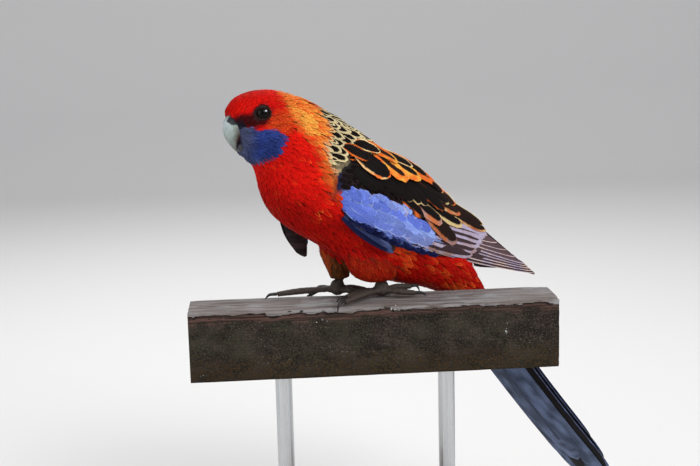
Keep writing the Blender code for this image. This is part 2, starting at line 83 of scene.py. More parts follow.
# Rail: steps along it, how far its corners are rounded, and the rings that close its ends.
RAIL_STEPS = 260
RAIL_CORNER = 1.6
RAIL_END_RINGS = (0.85, 0.65, 0.45, 0.22)

# Feet: the grid that joins their bones into one skin, how far the bones grow first, and the
# toes' names.
FOOT_VOXEL = 0.34
FOOT_GROWTH = 0.45
TOES = ("front_inner", "front_outer", "rear_inner", "rear_outer")

# Coat: the solids that one skin stands for, the zones' numbers in their order, the grid that
# joins them, how far they grow so that neighbours join, and two balls that fill the chin.
FLESH = ("head", "neck", "trunk", "rump", "thigh_left", "thigh_right",
         "wing_left_coverts", "wing_right_coverts")
HEAD, NECK, TRUNK, RUMP, THIGH_LEFT, THIGH_RIGHT, WING_LEFT, WING_RIGHT = range(8)
COATED = (*FLESH, "wing_left_secondaries", "wing_right_secondaries")
COAT_VOXEL = 0.9
COAT_GROWTH = 0.5
CHIN_BALLS = (((-66.2, 0.0, 93.8), (4.8, 6.2, 4.4)), ((-61.6, 0.0, 90.0), (4.6, 7.6, 4.8)))
COAT_SEED = 7

# Vanes: where a vane's round tip begins on its own map, how square the tip is, and the size
# of a vane's patch on the skin's unwrap.
VANE_TIP = 0.5
VANE_ROUND = 2.4
BAKE_PATCH = 0.0028

# The body's middle line, from the bill's root to the vent: x and z.
SPINE = ((-76, 107), (-62, 104), (-53, 100), (-46, 95), (-40, 90), (-33, 84), (-23, 78),
         (-12, 70), (0, 61), (13, 51), (27, 41), (44, 28), (64, 15), (78, -1), (92, -19))
BILL_ROOT = (-73.0, 0.0, 105.0)
EYE = (-59.4, 10.7, 114.6)
EYE_AXIS = (-0.26, 0.96, 0.08)
EYE_RADIUS = 4.1

# Edges of the coat's colour fields, seen from the side: x and z.
CHEEK = ((-78.0, 107.0), (-70.6, 107.6), (-66.0, 107.4), (-63.7, 105.4), (-52.8, 105.2),
         (-47.2, 100.5), (-52.0, 90.4), (-61.0, 85.6), (-67.0, 84.0), (-80.0, 92.0))
CERE = ((-80.0, 114.2), (-77.0, 112.8), (-74.0, 112.0), (-70.4, 110.2), (-69.0, 108.0),
        (-71.0, 107.0), (-76.0, 106.0), (-80.0, 108.0))
NAPE = ((-46.0, 131.0), (-44.5, 117.0), (-41.5, 109.0), (-36.5, 103.0), (-30.5, 95.0),
        (-29.5, 85.0), (-29.5, 76.0), (-24.0, 66.0), (-17.0, 70.0), (-20.0, 92.0),
        (-14.0, 108.0), (-20.0, 116.0), (-34.0, 126.0))
COLLAR = ((-24.0, 116.0), (-21.0, 104.0), (-25.5, 95.0), (-26.0, 86.0), (-23.0, 80.0),
          (-18.0, 78.0), (-12.0, 76.0), (20.0, 70.0), (60.0, 50.0), (66.0, 60.0),
          (20.0, 104.0), (0.0, 114.0))
BLUE = ((-24.5, 69.5), (-16.0, 70.5), (-11.0, 69.0), (4.7, 62.0), (13.3, 56.6), (23.3, 49.5),
        (31.0, 44.0), (38.0, 39.0), (56.0, 25.0), (50.0, 20.0), (21.0, 27.0), (-10.0, 45.0),
        (-28.0, 52.0))
WING_LOW = ((-30, 66), (-22, 58), (-9.9, 52), (8, 39), (21.2, 33), (39.2, 26.8), (50.1, 24),
            (62.4, 18.2), (84, 11.1), (109.9, 6.2), (137.4, -1.9))
WING_TOP = ((-30, 89), (-19, 90), (-8, 96), (8, 91), (23, 86.6), (39.5, 79), (57, 67.4),
            (73.5, 53), (90, 37.5), (106, 24), (122, 11), (139, -2))

shop = {}                          # what one operator leaves for another


# Settings ---------------------------------------------------------------------------------

def paint(name, use, default):
    """A colour that a user would change."""
    return FloatVectorProperty(name=name, description=use, subtype="COLOR", size=3,
                               min=0.0, max=1.0, default=default)


def length(name, use, default, low, high):
    """A size in millimetres that a user would change."""
    return FloatProperty(name=name, description=f"{use}, in millimetres", default=default,
                         min=low, max=high)


class RosellaColours(bpy.types.PropertyGroup):
    """Colours of the plumage, the bare parts and the timber."""

    crimson: paint("Crimson", "Crown and breast", (0.55, 0.003, 0.002))
    flame: paint("Flame", "Lighter red of the belly and of feather edges", (0.66, 0.013, 0.003))
    orange: paint("Orange", "Nape and the edges of the shoulder feathers", (0.72, 0.14, 0.020))
    straw: paint("Straw", "Yellow flecks on the nape", (0.80, 0.37, 0.055))
    cream: paint("Cream", "Collar and the edges of the back feathers", (0.70, 0.52, 0.24))
    soot: paint("Soot", "Middles of the back feathers and the black of the wing",
                (0.005, 0.003, 0.003))
    cheek: paint("Cheek", "Violet-blue cheek patch", (0.014, 0.028, 0.135))
    chin: paint("Chin", "Greyer blue beside the bill", (0.048, 0.052, 0.078))
    sky: paint("Sky", "Light blue of the wing patch", (0.10, 0.15, 0.54))
    pale_sky: paint("Pale sky", "Palest feathers of the wing patch", (0.24, 0.33, 0.68))
    navy: paint("Navy", "Dark blue edges of the wing", (0.005, 0.007, 0.036))
    slate: paint("Slate", "The bastard wing", (0.045, 0.065, 0.16))
    pale_slate: paint("Pale slate", "Upper stripe of the bastard wing", (0.15, 0.19, 0.38))
    umber: paint("Umber", "Brown-black of the inner wing feathers", (0.016, 0.007, 0.005))
    rose: paint("Rose", "Distal edges of the flight feathers", (0.34, 0.20, 0.18))
    lilac: paint("Lilac", "Pale edges of the flight feathers", (0.40, 0.34, 0.46))
    quill: paint("Quill", "Middles of the flight feathers", (0.042, 0.024, 0.028))
    rust: paint("Rust", "Edges of the inner wing feathers", (0.46, 0.13, 0.045))
    mauve: paint("Mauve", "Middles of the upper flight feathers", (0.095, 0.058, 0.066))
    blush: paint("Blush", "Outer edges of the longest wing feathers", (0.60, 0.44, 0.38))
    tail_blue: paint("Tail blue", "Outer feathers of the tail", (0.080, 0.105, 0.175))
    horn: paint("Horn", "Bill", (0.26, 0.31, 0.29))
    foot: paint("Foot", "Scaly skin of the feet", (0.058, 0.040, 0.030))
    # The timber colour is the rail's grey top: weathered wood, also painted lighter as light from
    # above.
    timber: paint("Timber", "Weathered top of the rail", (0.225, 0.21, 0.21))


class RosellaSizes(bpy.types.PropertyGroup):
    """Sizes of the coat and of the small parts."""

    face_gap: length("Face feather gap", "From one face feather to the next", 1.05, 0.8, 3.0)
    body_gap: length("Body feather gap", "From one breast feather to the next", 2.1, 1.5, 6.0)
    wing_gap: length("Wing feather gap", "From one wing covert to the next", 2.7, 1.5, 6.0)
    coat_depth: length("Coat depth", "From the coat's surface to the skin", 1.5, 0.5, 4.0)
    vane: length("Vane", "Thickness of a small feather", 0.12, 0.08, 0.5)
    rail_wear: length("Rail wear", "Depth of the cracks along the rail", 0.9, 0.0, 2.0)


class RosellaStage(bpy.types.PropertyGroup):
    """Camera and light."""

    lens: FloatProperty(name="Lens", description="Focal length on a 36 mm sensor",
                        default=61.714, min=20.0, max=200.0, unit="CAMERA")
    distance: FloatProperty(name="Distance", description="From the camera to the bird",
                            default=0.705, min=0.3, max=3.0, unit="LENGTH")
    azimuth: FloatProperty(name="Azimuth", description="The camera's turn round the bird",
                           default=math.radians(-4.0), subtype="ANGLE")
    elevation: FloatProperty(name="Elevation", description="The camera's height as an angle",
                             default=math.radians(10.2), subtype="ANGLE")
    roll: FloatProperty(name="Roll", description="Tilt of the camera",
                        default=math.radians(1.45), subtype="ANGLE")
    light: FloatProperty(name="Light", description="Strength of all the lamps together",
                         default=1.0, min=0.0, max=10.0)
    lamps: IntProperty(name="Lamps", description="How many soft lamps are lit", default=3,
                       min=1, max=3)


# Numbers ----------------------------------------------------------------------------------

def to_world(points):
    """Places in the bird's frame, as metres in the frame of the whole object."""
    x, y, z = np.moveaxis(np.asarray(points, float), -1, 0)
    c, s = math.cos(BODY_TURN), math.sin(BODY_TURN)
    return np.stack([c * x - s * y, s * x + c * y + BODY_Y, z + RAIL_TOP], -1) * MM


def to_bird(points):
    """Metres in the frame of the whole object, as places in the bird's frame."""
    x, y, z = np.moveaxis(np.asarray(points, float) / MM, -1, 0)
    y = y - BODY_Y
    c, s = math.cos(BODY_TURN), math.sin(BODY_TURN)
    return np.stack([c * x + s * y, c * y - s * x, z - RAIL_TOP], -1)


def tints():
    """The colours of the plumage and bare parts as arrays, by name."""
    colours = bpy.context.scene.rosella_colours
    return {key: np.array(getattr(colours, key)) for key in RosellaColours.__annotations__}


def unit(vectors):
    """Vectors of length one."""
    size = np.linalg.norm(vectors, axis=-1, keepdims=True)
    return vectors / np.maximum(size, 1e-9)


def rise(value, low, high):
    """A smooth rise from 0 to 1 between two values."""
    t = np.clip((value - low) / (high - low), 0.0, 1.0)
    return t * t * (3.0 - 2.0 * t)


def over(base, tint, share):
    """Colours mixed toward a tint, each by its own share."""
    return base + (np.asarray(tint) - base) * np.asarray(share)[..., None]


def mirrored(place, side):
    """A place or direction on the bird's right, for either side."""
    return np.array(place) * (1.0, SIGN[side], 1.0)


def between(rows, steps, knots=None):
    """Rows of numbers read at steps between them, counted in rows or along knots."""
    rows = np.asarray(rows, float)
    knots = range(len(rows)) if knots is None else knots
    return np.stack([np.interp(steps, knots, column) for column in rows.T], -1)


def cloud(points, cell, seed=0):
    """Smooth random values from 0 to 1 in space, with lumps about a cell across."""
    p = np.asarray(points, float) / cell + seed * 13.37
    low = np.floor(p).astype(np.int64)
    f = p - low
    f = f * f * (3.0 - 2.0 * f)
    total = np.zeros(len(p))
    for corner in range(8):
        step = np.array([corner & 1, (corner >> 1) & 1, corner >> 2])
        q = low + step
        mix = q[:, 0] * 73856093 ^ q[:, 1] * 19349663 ^ q[:, 2] * 83492791 ^ (seed * 7919)
        mix = (mix ^ (mix >> 13)) * 1274126177
        value = ((mix ^ (mix >> 16)) & 65535) / 65535.0
        total += value * np.prod(np.where(step == 1, f, 1.0 - f), axis=1)
    return total


def inside(places, corners, soft):
    """How far places lie inside an outline, from 0 to 1 across its soft edge."""
    a = np.asarray(corners, float)
    b = np.roll(a, -1, axis=0)
    p = places[:, None, :]
    edge = b - a
    t = np.clip(((p - a) * edge).sum(-1) / (edge ** 2).sum(-1), 0.0, 1.0)
    away = np.linalg.norm(p - (a + t[..., None] * edge), axis=-1).min(axis=1)
    over_edge = (a[:, 1] > p[..., 1]) != (b[:, 1] > p[..., 1])
    rise_z = np.where(edge[:, 1] == 0, 1e-9, edge[:, 1])
    cross_x = a[:, 0] + (p[..., 1] - a[:, 1]) / rise_z * edge[:, 0]
    odd = (over_edge & (p[..., 0] < cross_x)).sum(axis=1) % 2 == 1
    return rise(np.where(odd, away, -away), -soft, soft)


def line_height(line, x):
    """Height of a line of (x, z) points at each x."""
    line = np.asarray(line, float)
    return np.interp(x, line[:, 0], line[:, 1])


# Meshes -----------------------------------------------------------------------------------

def make_object(name, vertices, faces, smooth=True):
    """A new mesh object from world metres."""
    mesh = bpy.data.meshes.new(name)
    mesh.from_pydata([tuple(v) for v in vertices], [], [tuple(f) for f in faces])
    mesh.polygons.foreach_set("use_smooth", [smooth] * len(mesh.polygons))
    mesh.update()
    thing = bpy.data.objects.new(name, mesh)
    bpy.context.scene.collection.objects.link(thing)
    return thing


def read(items, key, width, kind=float):
    """A value of each item of a mesh, as rows of an array."""
    values = np.empty(len(items) * width, kind)
    items.foreach_get(key, values)
    return values.reshape(-1, width) if width > 1 else values


def mesh_arrays(mesh):
    """Vertices and triangles of a mesh as arrays."""
    mesh.calc_loop_triangles()
    return read(mesh.vertices, "co", 3), read(mesh.loop_triangles, "vertices", 3, int)


def applied(thing):
    """The mesh that a thing's modifiers make."""
    bpy.context.view_layer.update()
    graph = bpy.context.evaluated_depsgraph_get()
    return bpy.data.meshes.new_from_object(thing.evaluated_get(graph))


@contextmanager
def edited(mesh):
    """A mesh open for editing, and written back."""
    bm = bmesh.new()
    bm.from_mesh(mesh)
    yield bm
    bm.to_mesh(mesh)
    bm.free()


def quads(grid):
    """Four-sided faces between neighbours in a grid of vertex numbers."""
    return np.stack([grid[:-1, :-1], grid[:-1, 1:], grid[1:, 1:], grid[1:, :-1]], -1).reshape(-1, 4)


def wound(rows, turns, closed=False):
    """A grid of vertex numbers that closes round, and also end to end if it is closed."""
    grid = np.arange(rows * turns).reshape(rows, turns)
    return np.pad(grid, ((0, int(closed)), (0, 1)), mode="wrap")


def vertex_normals(vertices, triangles):
    """Area-weighted normals."""
    a, b, c = (vertices[triangles[:, k]] for k in range(3))
    face = np.cross(b - a, c - a)
    normals = np.zeros_like(vertices)
    for k in range(3):
        np.add.at(normals, triangles[:, k], face)
    return unit(normals)


def node_solid(names, grow=0.0):
    """CAD nodes joined in the bird's frame, each grown along its normals."""
    vertices, triangles, owner = [], [], []
    count = 0
    for index, name in enumerate(names):
        spots, faces = mesh_arrays(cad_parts[name].data)
        spots, back = np.unique(np.round(to_bird(spots), 3), axis=0, return_inverse=True)
        faces = back.reshape(-1)[faces]
        vertices.append(spots + vertex_normals(spots, faces) * grow)
        triangles.append(faces + count)
        owner += [index] * len(faces)
        count += len(spots)
    return np.concatenate(vertices), np.concatenate(triangles), np.array(owner)


def with_ball(points, triangles, centre, radii):
    """A closed surface with an egg-shaped one added to it."""
    bm = bmesh.new()
    bmesh.ops.create_icosphere(bm, subdivisions=3, radius=1.0)
    egg = np.array([tuple(v.co) for v in bm.verts]) * radii + centre
    faces = np.array([[v.index for v in face.verts] for face in bm.faces])
    bm.free()
    return np.concatenate([points, egg]), np.concatenate([triangles, faces + len(points)])


def remeshed(vertices, triangles, voxel, grow, smooths):
    """One closed smooth surface round solids, less what they had grown by, as its vertices,
    faces and triangles."""
    blank = make_object("blank", vertices, triangles)
    remesh = blank.modifiers.new("join", "REMESH")
    remesh.mode = "VOXEL"
    remesh.voxel_size = voxel
    smooth = blank.modifiers.new("smooth", "SMOOTH")
    smooth.factor = 0.5
    smooth.iterations = smooths
    mesh = applied(blank)
    bpy.data.objects.remove(blank)
    keep_largest(mesh)
    vertices, triangles = mesh_arrays(mesh)
    faces = [tuple(p.vertices) for p in mesh.polygons]
    bpy.data.meshes.remove(mesh)
    return vertices - vertex_normals(vertices, triangles) * grow, faces, triangles


def keep_largest(mesh):
    """Leave only the largest connected body of a mesh."""
    with edited(mesh) as bm:
        seen = set()
        best = []
        for vertex in bm.verts:
            if vertex in seen:
                continue
            seen.add(vertex)
            group = [vertex]
            for member in group:
                others = {edge.other_vert(member) for edge in member.link_edges} - seen
                seen |= others
                group += others
            best = max(best, group, key=len)
        rest = set(bm.verts).difference(best)
        bmesh.ops.delete(bm, geom=list(rest), context="VERTS")


def bird_bvh(vertices, triangles):
    """A search tree over a surface in the bird's frame."""
    return BVHTree.FromPolygons([tuple(v) for v in vertices], [tuple(t) for t in triangles])


def set_colours(mesh, name, colours, alpha=1.0):
    """A colour on each vertex."""
    values = np.ones((len(mesh.vertices), 4), np.float32)
    values[:, :3] = np.clip(colours, 0.0, 1.0)
    values[:, 3] = alpha
    layer = mesh.color_attributes.new(name, "FLOAT_COLOR", "POINT")
    layer.data.foreach_set("color", values.ravel())


def set_uv(mesh, name, places):
    """A UV map from one place for each vertex."""
    corner = read(mesh.loops, "vertex_index", 1, int)
    layer = mesh.uv_layers.new(name=name)
    layer.data.foreach_set("uv", np.asarray(places, np.float32)[corner].ravel())


def finish_piece(thing, material, nodes=()):
    """Give a piece its material and slot, and let it stand for its CAD nodes."""
    thing.data.materials.clear()
    thing.data.materials.append(material)
    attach(thing, "root")
    if nodes:
        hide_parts(*nodes)
    return thing


# The coat's surface -----------------------------------------------------------------------

@cache
def coat():
    """The smooth outer surface of the bird, its zones and its search tree."""
    solid = node_solid(COATED, COAT_GROWTH)[:2]
    for chin in CHIN_BALLS:
        solid = with_ball(*solid, *chin)
    vertices, faces, triangles = remeshed(*solid, COAT_VOXEL, COAT_GROWTH, 10)
    solid, solid_triangles, owner = node_solid(COATED)
    source = bird_bvh(solid, solid_triangles)
    zone = np.array([owner[source.find_nearest(tuple(v))[2]] for v in vertices])
    return {"vertices": vertices, "faces": faces, "triangles": triangles,
            "normals": vertex_normals(vertices, triangles),
            "zone": np.where(zone >= len(FLESH), zone - len(SIDES), zone),
            "tree": bird_bvh(vertices, triangles)}


def nearest(points):
    """Nearest triangle of the coat, as its first vertex, and the nearest place on the coat."""
    skin = coat()
    hits = [skin["tree"].find_nearest(tuple(p)) for p in points]
    first = skin["triangles"][[hit[2] for hit in hits], 0]
    return first, np.array([tuple(hit[0]) for hit in hits])


def on_thigh(zone):
    """Which places lie on a thigh."""
    return (zone == THIGH_LEFT) | (zone == THIGH_RIGHT)


def coat_depth(points, zone):
    """How thick the coat is over the skin: thin on the face, thick on the breast."""
    full = bpy.context.scene.rosella_sizes.coat_depth
    share = 0.28 + 0.72 * rise(points[:, 0], -68.0, -34.0)
    share = np.where(zone >= WING_LEFT, 0.55, share)
    share = np.where(on_thigh(zone), 0.7, share)
    return full * share


def feather_gap(points, zone):
    """How far apart feathers grow."""
    sizes = bpy.context.scene.rosella_sizes
    x = points[:, 0]
    gap = sizes.face_gap + (sizes.body_gap - sizes.face_gap) * rise(x, -64.0, -22.0)
    gap = gap * (1.0 + 0.12 * rise(x, 20.0, 60.0))
    mantle = (zone <= TRUNK) & (inside(points[:, (0, 2)], COLLAR, 2.0) > 0.5)
    gap = np.where(mantle, gap * (1.55 + 0.5 * rise(x, -24.0, 2.0)), gap)
    wing = sizes.wing_gap * (0.72 + 0.45 * rise(x, -24.0, 30.0))
    gap = np.where(zone >= WING_LEFT, wing, gap)
    return np.where(on_thigh(zone), sizes.body_gap * 0.85, gap)


def up_the_wing(x, z):
    """How far up the folded wing places lie, from 0 at its lower edge to 1 at its top."""
    low = line_height(WING_LOW, x)
    top = line_height(WING_TOP, x)
    return np.clip((z - low) / np.maximum(top - low, 4.0), 0.0, 1.0)


def wing_slope(x, z):
    """Direction of the wing's feathers in the side view, as unit x and z."""
    share = up_the_wing(x, z)
    low_angle = np.interp(x, (-20, 10, 50, 90), (-42, -34, -20, -14))
    top_angle = np.interp(x, (-20, 20, 60, 90), (-6, -16, -38, -43))
    angle = np.radians(low_angle + (top_angle - low_angle) * share)
    return np.cos(angle), np.sin(angle)


def flow(points, normals, zone):
    """Direction in which feathers lie, along the surface."""
    line = between(SPINE, np.linspace(0, len(SPINE) - 1, 80))
    tangent = unit(np.gradient(line, axis=0))
    near = ((points[:, None, (0, 2)] - line[None]) ** 2).sum(-1).argmin(axis=1)
    lie = np.zeros_like(points)
    lie[:, (0, 2)] = tangent[near]
    away = points - np.array(BILL_ROOT)
    reach = np.linalg.norm(away, axis=1)
    lie = lie + (unit(away) - lie) * (1.0 - rise(reach, 10.0, 42.0))[:, None]
    wing_x, wing_z = wing_slope(points[:, 0], points[:, 2])
    for sign, index in zip(SIGN.values(), (WING_LEFT, WING_RIGHT)):
        on = zone == index
        lie[on] = np.stack([wing_x, np.full(len(points), -0.1 * sign), wing_z], -1)[on]
    lie[on_thigh(zone)] = (0.3, 0.0, -1.0)
    lie = lie - normals * (lie * normals).sum(-1, keepdims=True)
    return unit(lie)


# Markings ---------------------------------------------------------------------------------

def dyed(coats, inner, outer, share):
    """A feather's middle and its margin, each mixed toward its own tint."""
    return over(coats[0], inner, share), over(coats[1], outer, share)


def clouds(points, cell, seed):
    """Two clouds from -0.5 to 0.5, to push places about in the side view."""
    return np.stack([cloud(points, cell, seed), cloud(points, cell, seed + 1)], -1) - 0.5


def blob(x, z, across, tall, size, soft):
    """An oval spot in the side view, from 0 outside to 1 well inside."""
    return rise(size - np.hypot(x * across, z * tall), 0.0, soft)


def plumage(points, zone):
    """Colours of the coat: a feather's middle, its margin, and how wide the margin is."""
    x, y, z = points.T
    flat = points[:, (0, 2)]
    fine, mid, broad = (cloud(points, cell, seed) for seed, cell in enumerate((1.6, 4.0, 10.0), 1))
    wobble = clouds(points, 3.0, 4)
    body = zone < WING_LEFT
    tint = tints()
    orange = tint["orange"]

    warm = 0.10 + 0.35 * rise(x, 2.0, 40.0) + 0.35 * rise(broad, 0.45, 0.8)
    warm = warm * (0.3 + 0.7 * rise(-x, 70.0, 40.0))
    middle = over(tint["crimson"], tint["flame"], warm * (0.35 + 0.65 * mid))
    middle = middle * (0.78 + 0.34 * broad)[:, None]
    margin = over(middle, tint["flame"], 0.15 + 0.3 * fine)
    margin = over(margin, orange, 0.22 * rise(fine * mid, 0.38, 0.6))
    # Painted shade: the belly, flanks and vent are darkened toward the lower rear of the body.
    painted_underside_shade = (1.0 - 0.46 * rise(52.0 - z - 0.45 * x, 0.0, 14.0))[:, None]
    fleck = rise(x, 8.0, 26.0) * rise(fine * 0.5 + broad * 0.5, 0.52, 0.72)
    coats = over(middle * painted_underside_shade, orange, 0.22 * fleck), over(margin * painted_underside_shade, orange, 0.45 * fleck)
    breast_spot = blob(x + 32.0, z - 57.0, 1.0, 1.0, 6.0, 5.0) * rise(fine, 0.3, 0.8)
    coats = coats[0], over(coats[1], orange, 0.7 * breast_spot)

    ear = 0.7 * blob(x + 50.0, z - 109.0, 1.0, 1.3, 11.0, 7.0)
    coats = dyed(coats, (0.42, 0.035, 0.006), (0.60, 0.09, 0.012), ear)

    nape = inside(flat + wobble * 3.0, NAPE, 4.0) * body
    golden = blob(x + 36.0, z - 107.0, 0.8, 1.0, 13.0, 9.0)
    gold = over(orange, tint["straw"],
                rise(fine + 0.35 * golden, 0.40, 0.85) * (0.35 + 0.5 * golden))
    gold = gold * (1.0 - 0.32 * rise(94.0 - z, 0.0, 16.0))[:, None]
    bright = over(gold, tint["straw"], (0.1 + 0.4 * fine) * rise(z, 78.0, 96.0))
    coats = over(coats[0], gold, nape * (0.45 + 0.55 * mid)), over(coats[1], bright, nape)

    collar = inside(flat + wobble * 3.0, COLLAR, 2.2) * body
    pale = over(tint["cream"] * (0.80, 0.88, 1.05), orange,
                0.75 * rise(x, 8.0, 45.0) * rise(mid, 0.2, 0.7))
    spotted = fine > 0.52 - 0.75 * rise(x + 0.35 * (z - 90.0), -26.0, -12.0)
    coats = dyed(coats, over(pale * 0.9, tint["soot"], spotted.astype(float)), pale, collar)
    rim = np.where(collar > 0.5, 0.38 - 0.10 * rise(x, -15.0, 20.0),
                   0.22 + 0.1 * fine + nape * 0.12)

    cheek = inside(flat + wobble * 1.2, CHEEK, 0.7) * body
    grey = np.clip(rise(-x, 62.0, 69.0) * 0.7 + rise(92.0 - z, 0.0, 7.0) * 0.6, 0.0, 1.0)
    blue = over(tint["cheek"], tint["chin"] * 1.2, grey) * (0.55 + 0.9 * mid)[:, None]
    coats = dyed(coats, blue, blue * 1.3 + 0.006, cheek)

    # Painted shade: the lores and the feathers round the eye are darkened to a near black-red.
    painted_lore_shade = blob(x + 68.5, z - 110.4, 0.72, 1.25, 7.4, 4.0) * 0.97 * (1.0 - cheek)
    ring = blob(x - EYE[0] + 1.2, z - EYE[2] + 0.8, 1.0, 1.0, 6.6, 2.2) * (np.abs(y) > 6.0)
    coats = dyed(coats, (0.022, 0.001, 0.002), (0.030, 0.002, 0.003),
                 np.clip(painted_lore_shade + ring * 0.75, 0.0, 0.97))
    coats = dyed(coats, (0.006, 0.006, 0.012), (0.009, 0.009, 0.017),
                 inside(flat, CERE, 0.6) * body)

    olive = over(orange * (0.42, 0.30, 0.5), (0.036, 0.024, 0.008),
                 rise(x + 0.1 * (z - 20.0), -12.0, -7.0) * (0.7 + 0.3 * mid))
    olive = np.where((zone == THIGH_RIGHT)[:, None], olive,
                     over(coats[0] * (0.62, 0.40, 0.55), orange, 0.06 * mid))
    wing = wing_marks(points, fine, mid, wobble)
    parts = (on_thigh(zone)[:, None], (~body)[:, None])
    middle = np.select(parts, (olive, wing[0]), coats[0])
    margin = np.select(parts, (over(olive, orange, 0.16 * fine), wing[1]), coats[1])
    return (np.clip(middle, 0.0, 1.0), np.clip(margin, 0.0, 1.0),
            np.where(body, rim, wing[2]))


def wing_marks(points, fine, mid, wobble):
    """Colours of the small feathers of the wing, as plumage gives them."""
    x, _, z = points.T
    tint = tints()
    orange = tint["orange"]
    ink = tint["soot"] * (0.7 + 0.6 * mid)[:, None]
    coats = ink, over(ink, (0.030, 0.018, 0.016), 0.5 + 0.5 * fine)
    light = over(tint["sky"], tint["pale_sky"],
                 0.60 * rise(x, 14.0, 40.0) + 0.45 * rise(fine, 0.5, 0.9))
    light = over(light, tint["sky"] * (0.40, 0.45, 0.75), 0.9 * rise(0.60 - mid, 0.0, 0.3))
    light = over(light, (0.42, 0.40, 0.44), 0.7 * blob(x - 27.0, z - 50.0, 1.0, 1.4, 9.0, 7.0))
    patch = inside(points[:, (0, 2)] + clouds(points, 5.0, 6) * 5.0, BLUE, 0.6)
    coats = dyed(coats, light, over(light, tint["pale_sky"], 0.15 + 0.5 * fine), patch)
    above = z - line_height(WING_LOW, x)
    front = rise(-17.5 - x, 0.0, 3.5)
    trim = np.maximum(rise(3.2 - above, 0.0, 2.0), front * rise(z, 65.0, 69.0))
    coats = dyed(coats, tint["navy"], tint["navy"] * 2.2, trim)
    bright = rise(-16.5 - x, 0.0, 1.0) * rise(69.0 - z, 0.0, 4.0) * rise(above, 2.0, 4.0)
    coats = dyed(coats, tint["sky"] * 0.9, tint["sky"], bright)
    tucked = rise(-19.6 - x + wobble[:, 0] * 1.5, 0.0, 0.8) * rise(71.0 - z, 0.0, 4.0)
    breast = over(tint["crimson"] * 0.85, orange, 0.45 * mid)
    coats = dyed(coats, breast, breast * 1.15, tucked)
    above = z - np.interp(x, (-20, -9.7, 5.3, 18, 35.1, 46.2, 60), (93, 87, 76, 72, 67, 62, 54))
    upper = rise(above + wobble[:, 0] * 2.0, -0.5, 1.5) * rise(x, -13.0, -9.0)
    fringe = over(orange, tint["cream"], rise(above, 4.0, 12.0))
    return *dyed(coats, tint["soot"] * 1.3, fringe, upper), 0.16 + 0.30 * upper + 0.25 * patch


# Materials --------------------------------------------------------------------------------

class Finish:
    """A material under way: its nodes, with plain values on the shader's own sockets."""

    def __init__(self, name, roughness, specular=0.5, **others):
        self.material = bpy.data.materials.new(name)
        self.material.use_nodes = True
        self.tree = self.material.node_tree
        self.shader = self.tree.nodes["Principled BSDF"].inputs
        values = {"Roughness": roughness, "Specular IOR Level": specular,
                  "Coat Roughness": 0.06, "Sheen Roughness": 0.4, **others}
        for socket, value in values.items():
            self.shader[socket].default_value = value
        self.place = self.node("TexCoord", {}).node.outputs["Object"]

    def feed(self, socket, value):
        """Link a socket to another, or set its value."""
        if isinstance(value, bpy.types.NodeSocket):
            self.tree.links.new(value, socket)
        else:
            socket.default_value = (*value, 1.0) if socket.type == "RGBA" else value

    def node(self, kind, inputs, **settings):
        """The first output of a new node, with its inputs by number or name."""
        node = self.tree.nodes.new(f"ShaderNode{kind}")
        for key, value in settings.items():
            setattr(node, key, value)
        for key, value in inputs.items():
            self.feed(node.inputs[key], value)
        return node.outputs[0]

    def sum(self, operation, *values):
        """The result of one sum."""
        return self.node("Math", dict(enumerate(values)), operation=operation)

    def add(self, a, b):
        """Two values together."""
        return self.sum("ADD", a, b)

    def times(self, a, b):
        """Two values multiplied."""
        return self.sum("MULTIPLY", a, b)

    def blend(self, share, a, b, mode="MIX"):
        """Two colours mixed."""
        mix = self.node("Mix", {}, data_type="RGBA", blend_type=mode).node
        for index, value in ((0, share), (6, a), (7, b)):
            self.feed(mix.inputs[index], value)
        return mix.outputs[2]

    def shaded(self, colour, tint):
        """A colour multiplied by another."""
        return self.blend(1.0, colour, tint, "MULTIPLY")

    def spread(self, value, low, high, start=0.0, end=1.0):
        """A value carried smoothly from one range to another."""
        return self.node("MapRange", dict(enumerate((value, low, high, start, end))),
                         interpolation_type="SMOOTHSTEP")

    def coats(self, colour, *layers):
        """Thin coats over a colour, each where a pattern passes from low to high."""
        for pattern, low, high, most, tint in layers:
            colour = self.blend(self.spread(pattern, low, high, 0.0, most), colour, tint)
        return colour

    def noise(self, scale, detail=3.0, stretch=None):
        """Fractal noise over the object, stretched where asked."""
        vector = self.place
        if stretch:
            vector = self.node("Mapping", {"Scale": stretch, "Vector": vector})
        return self.node("TexNoise", {"Scale": scale, "Detail": detail, "Vector": vector})

    def painted(self, name="plumage"):
        """A colour attribute and its alpha."""
        node = self.node("Attribute", {}, attribute_name=name).node
        return node.outputs["Color"], node.outputs["Alpha"]

    def done(self, colour, height=None, strength=1.0, distance=1.0):
        """Give the shader its colour and its relief, and return the material."""
        self.feed(self.shader["Base Color"], colour)
        if height:
            self.feed(self.shader["Normal"], self.node(
                "Bump", {"Strength": strength, "Distance": distance, "Height": height}))
        return self.material


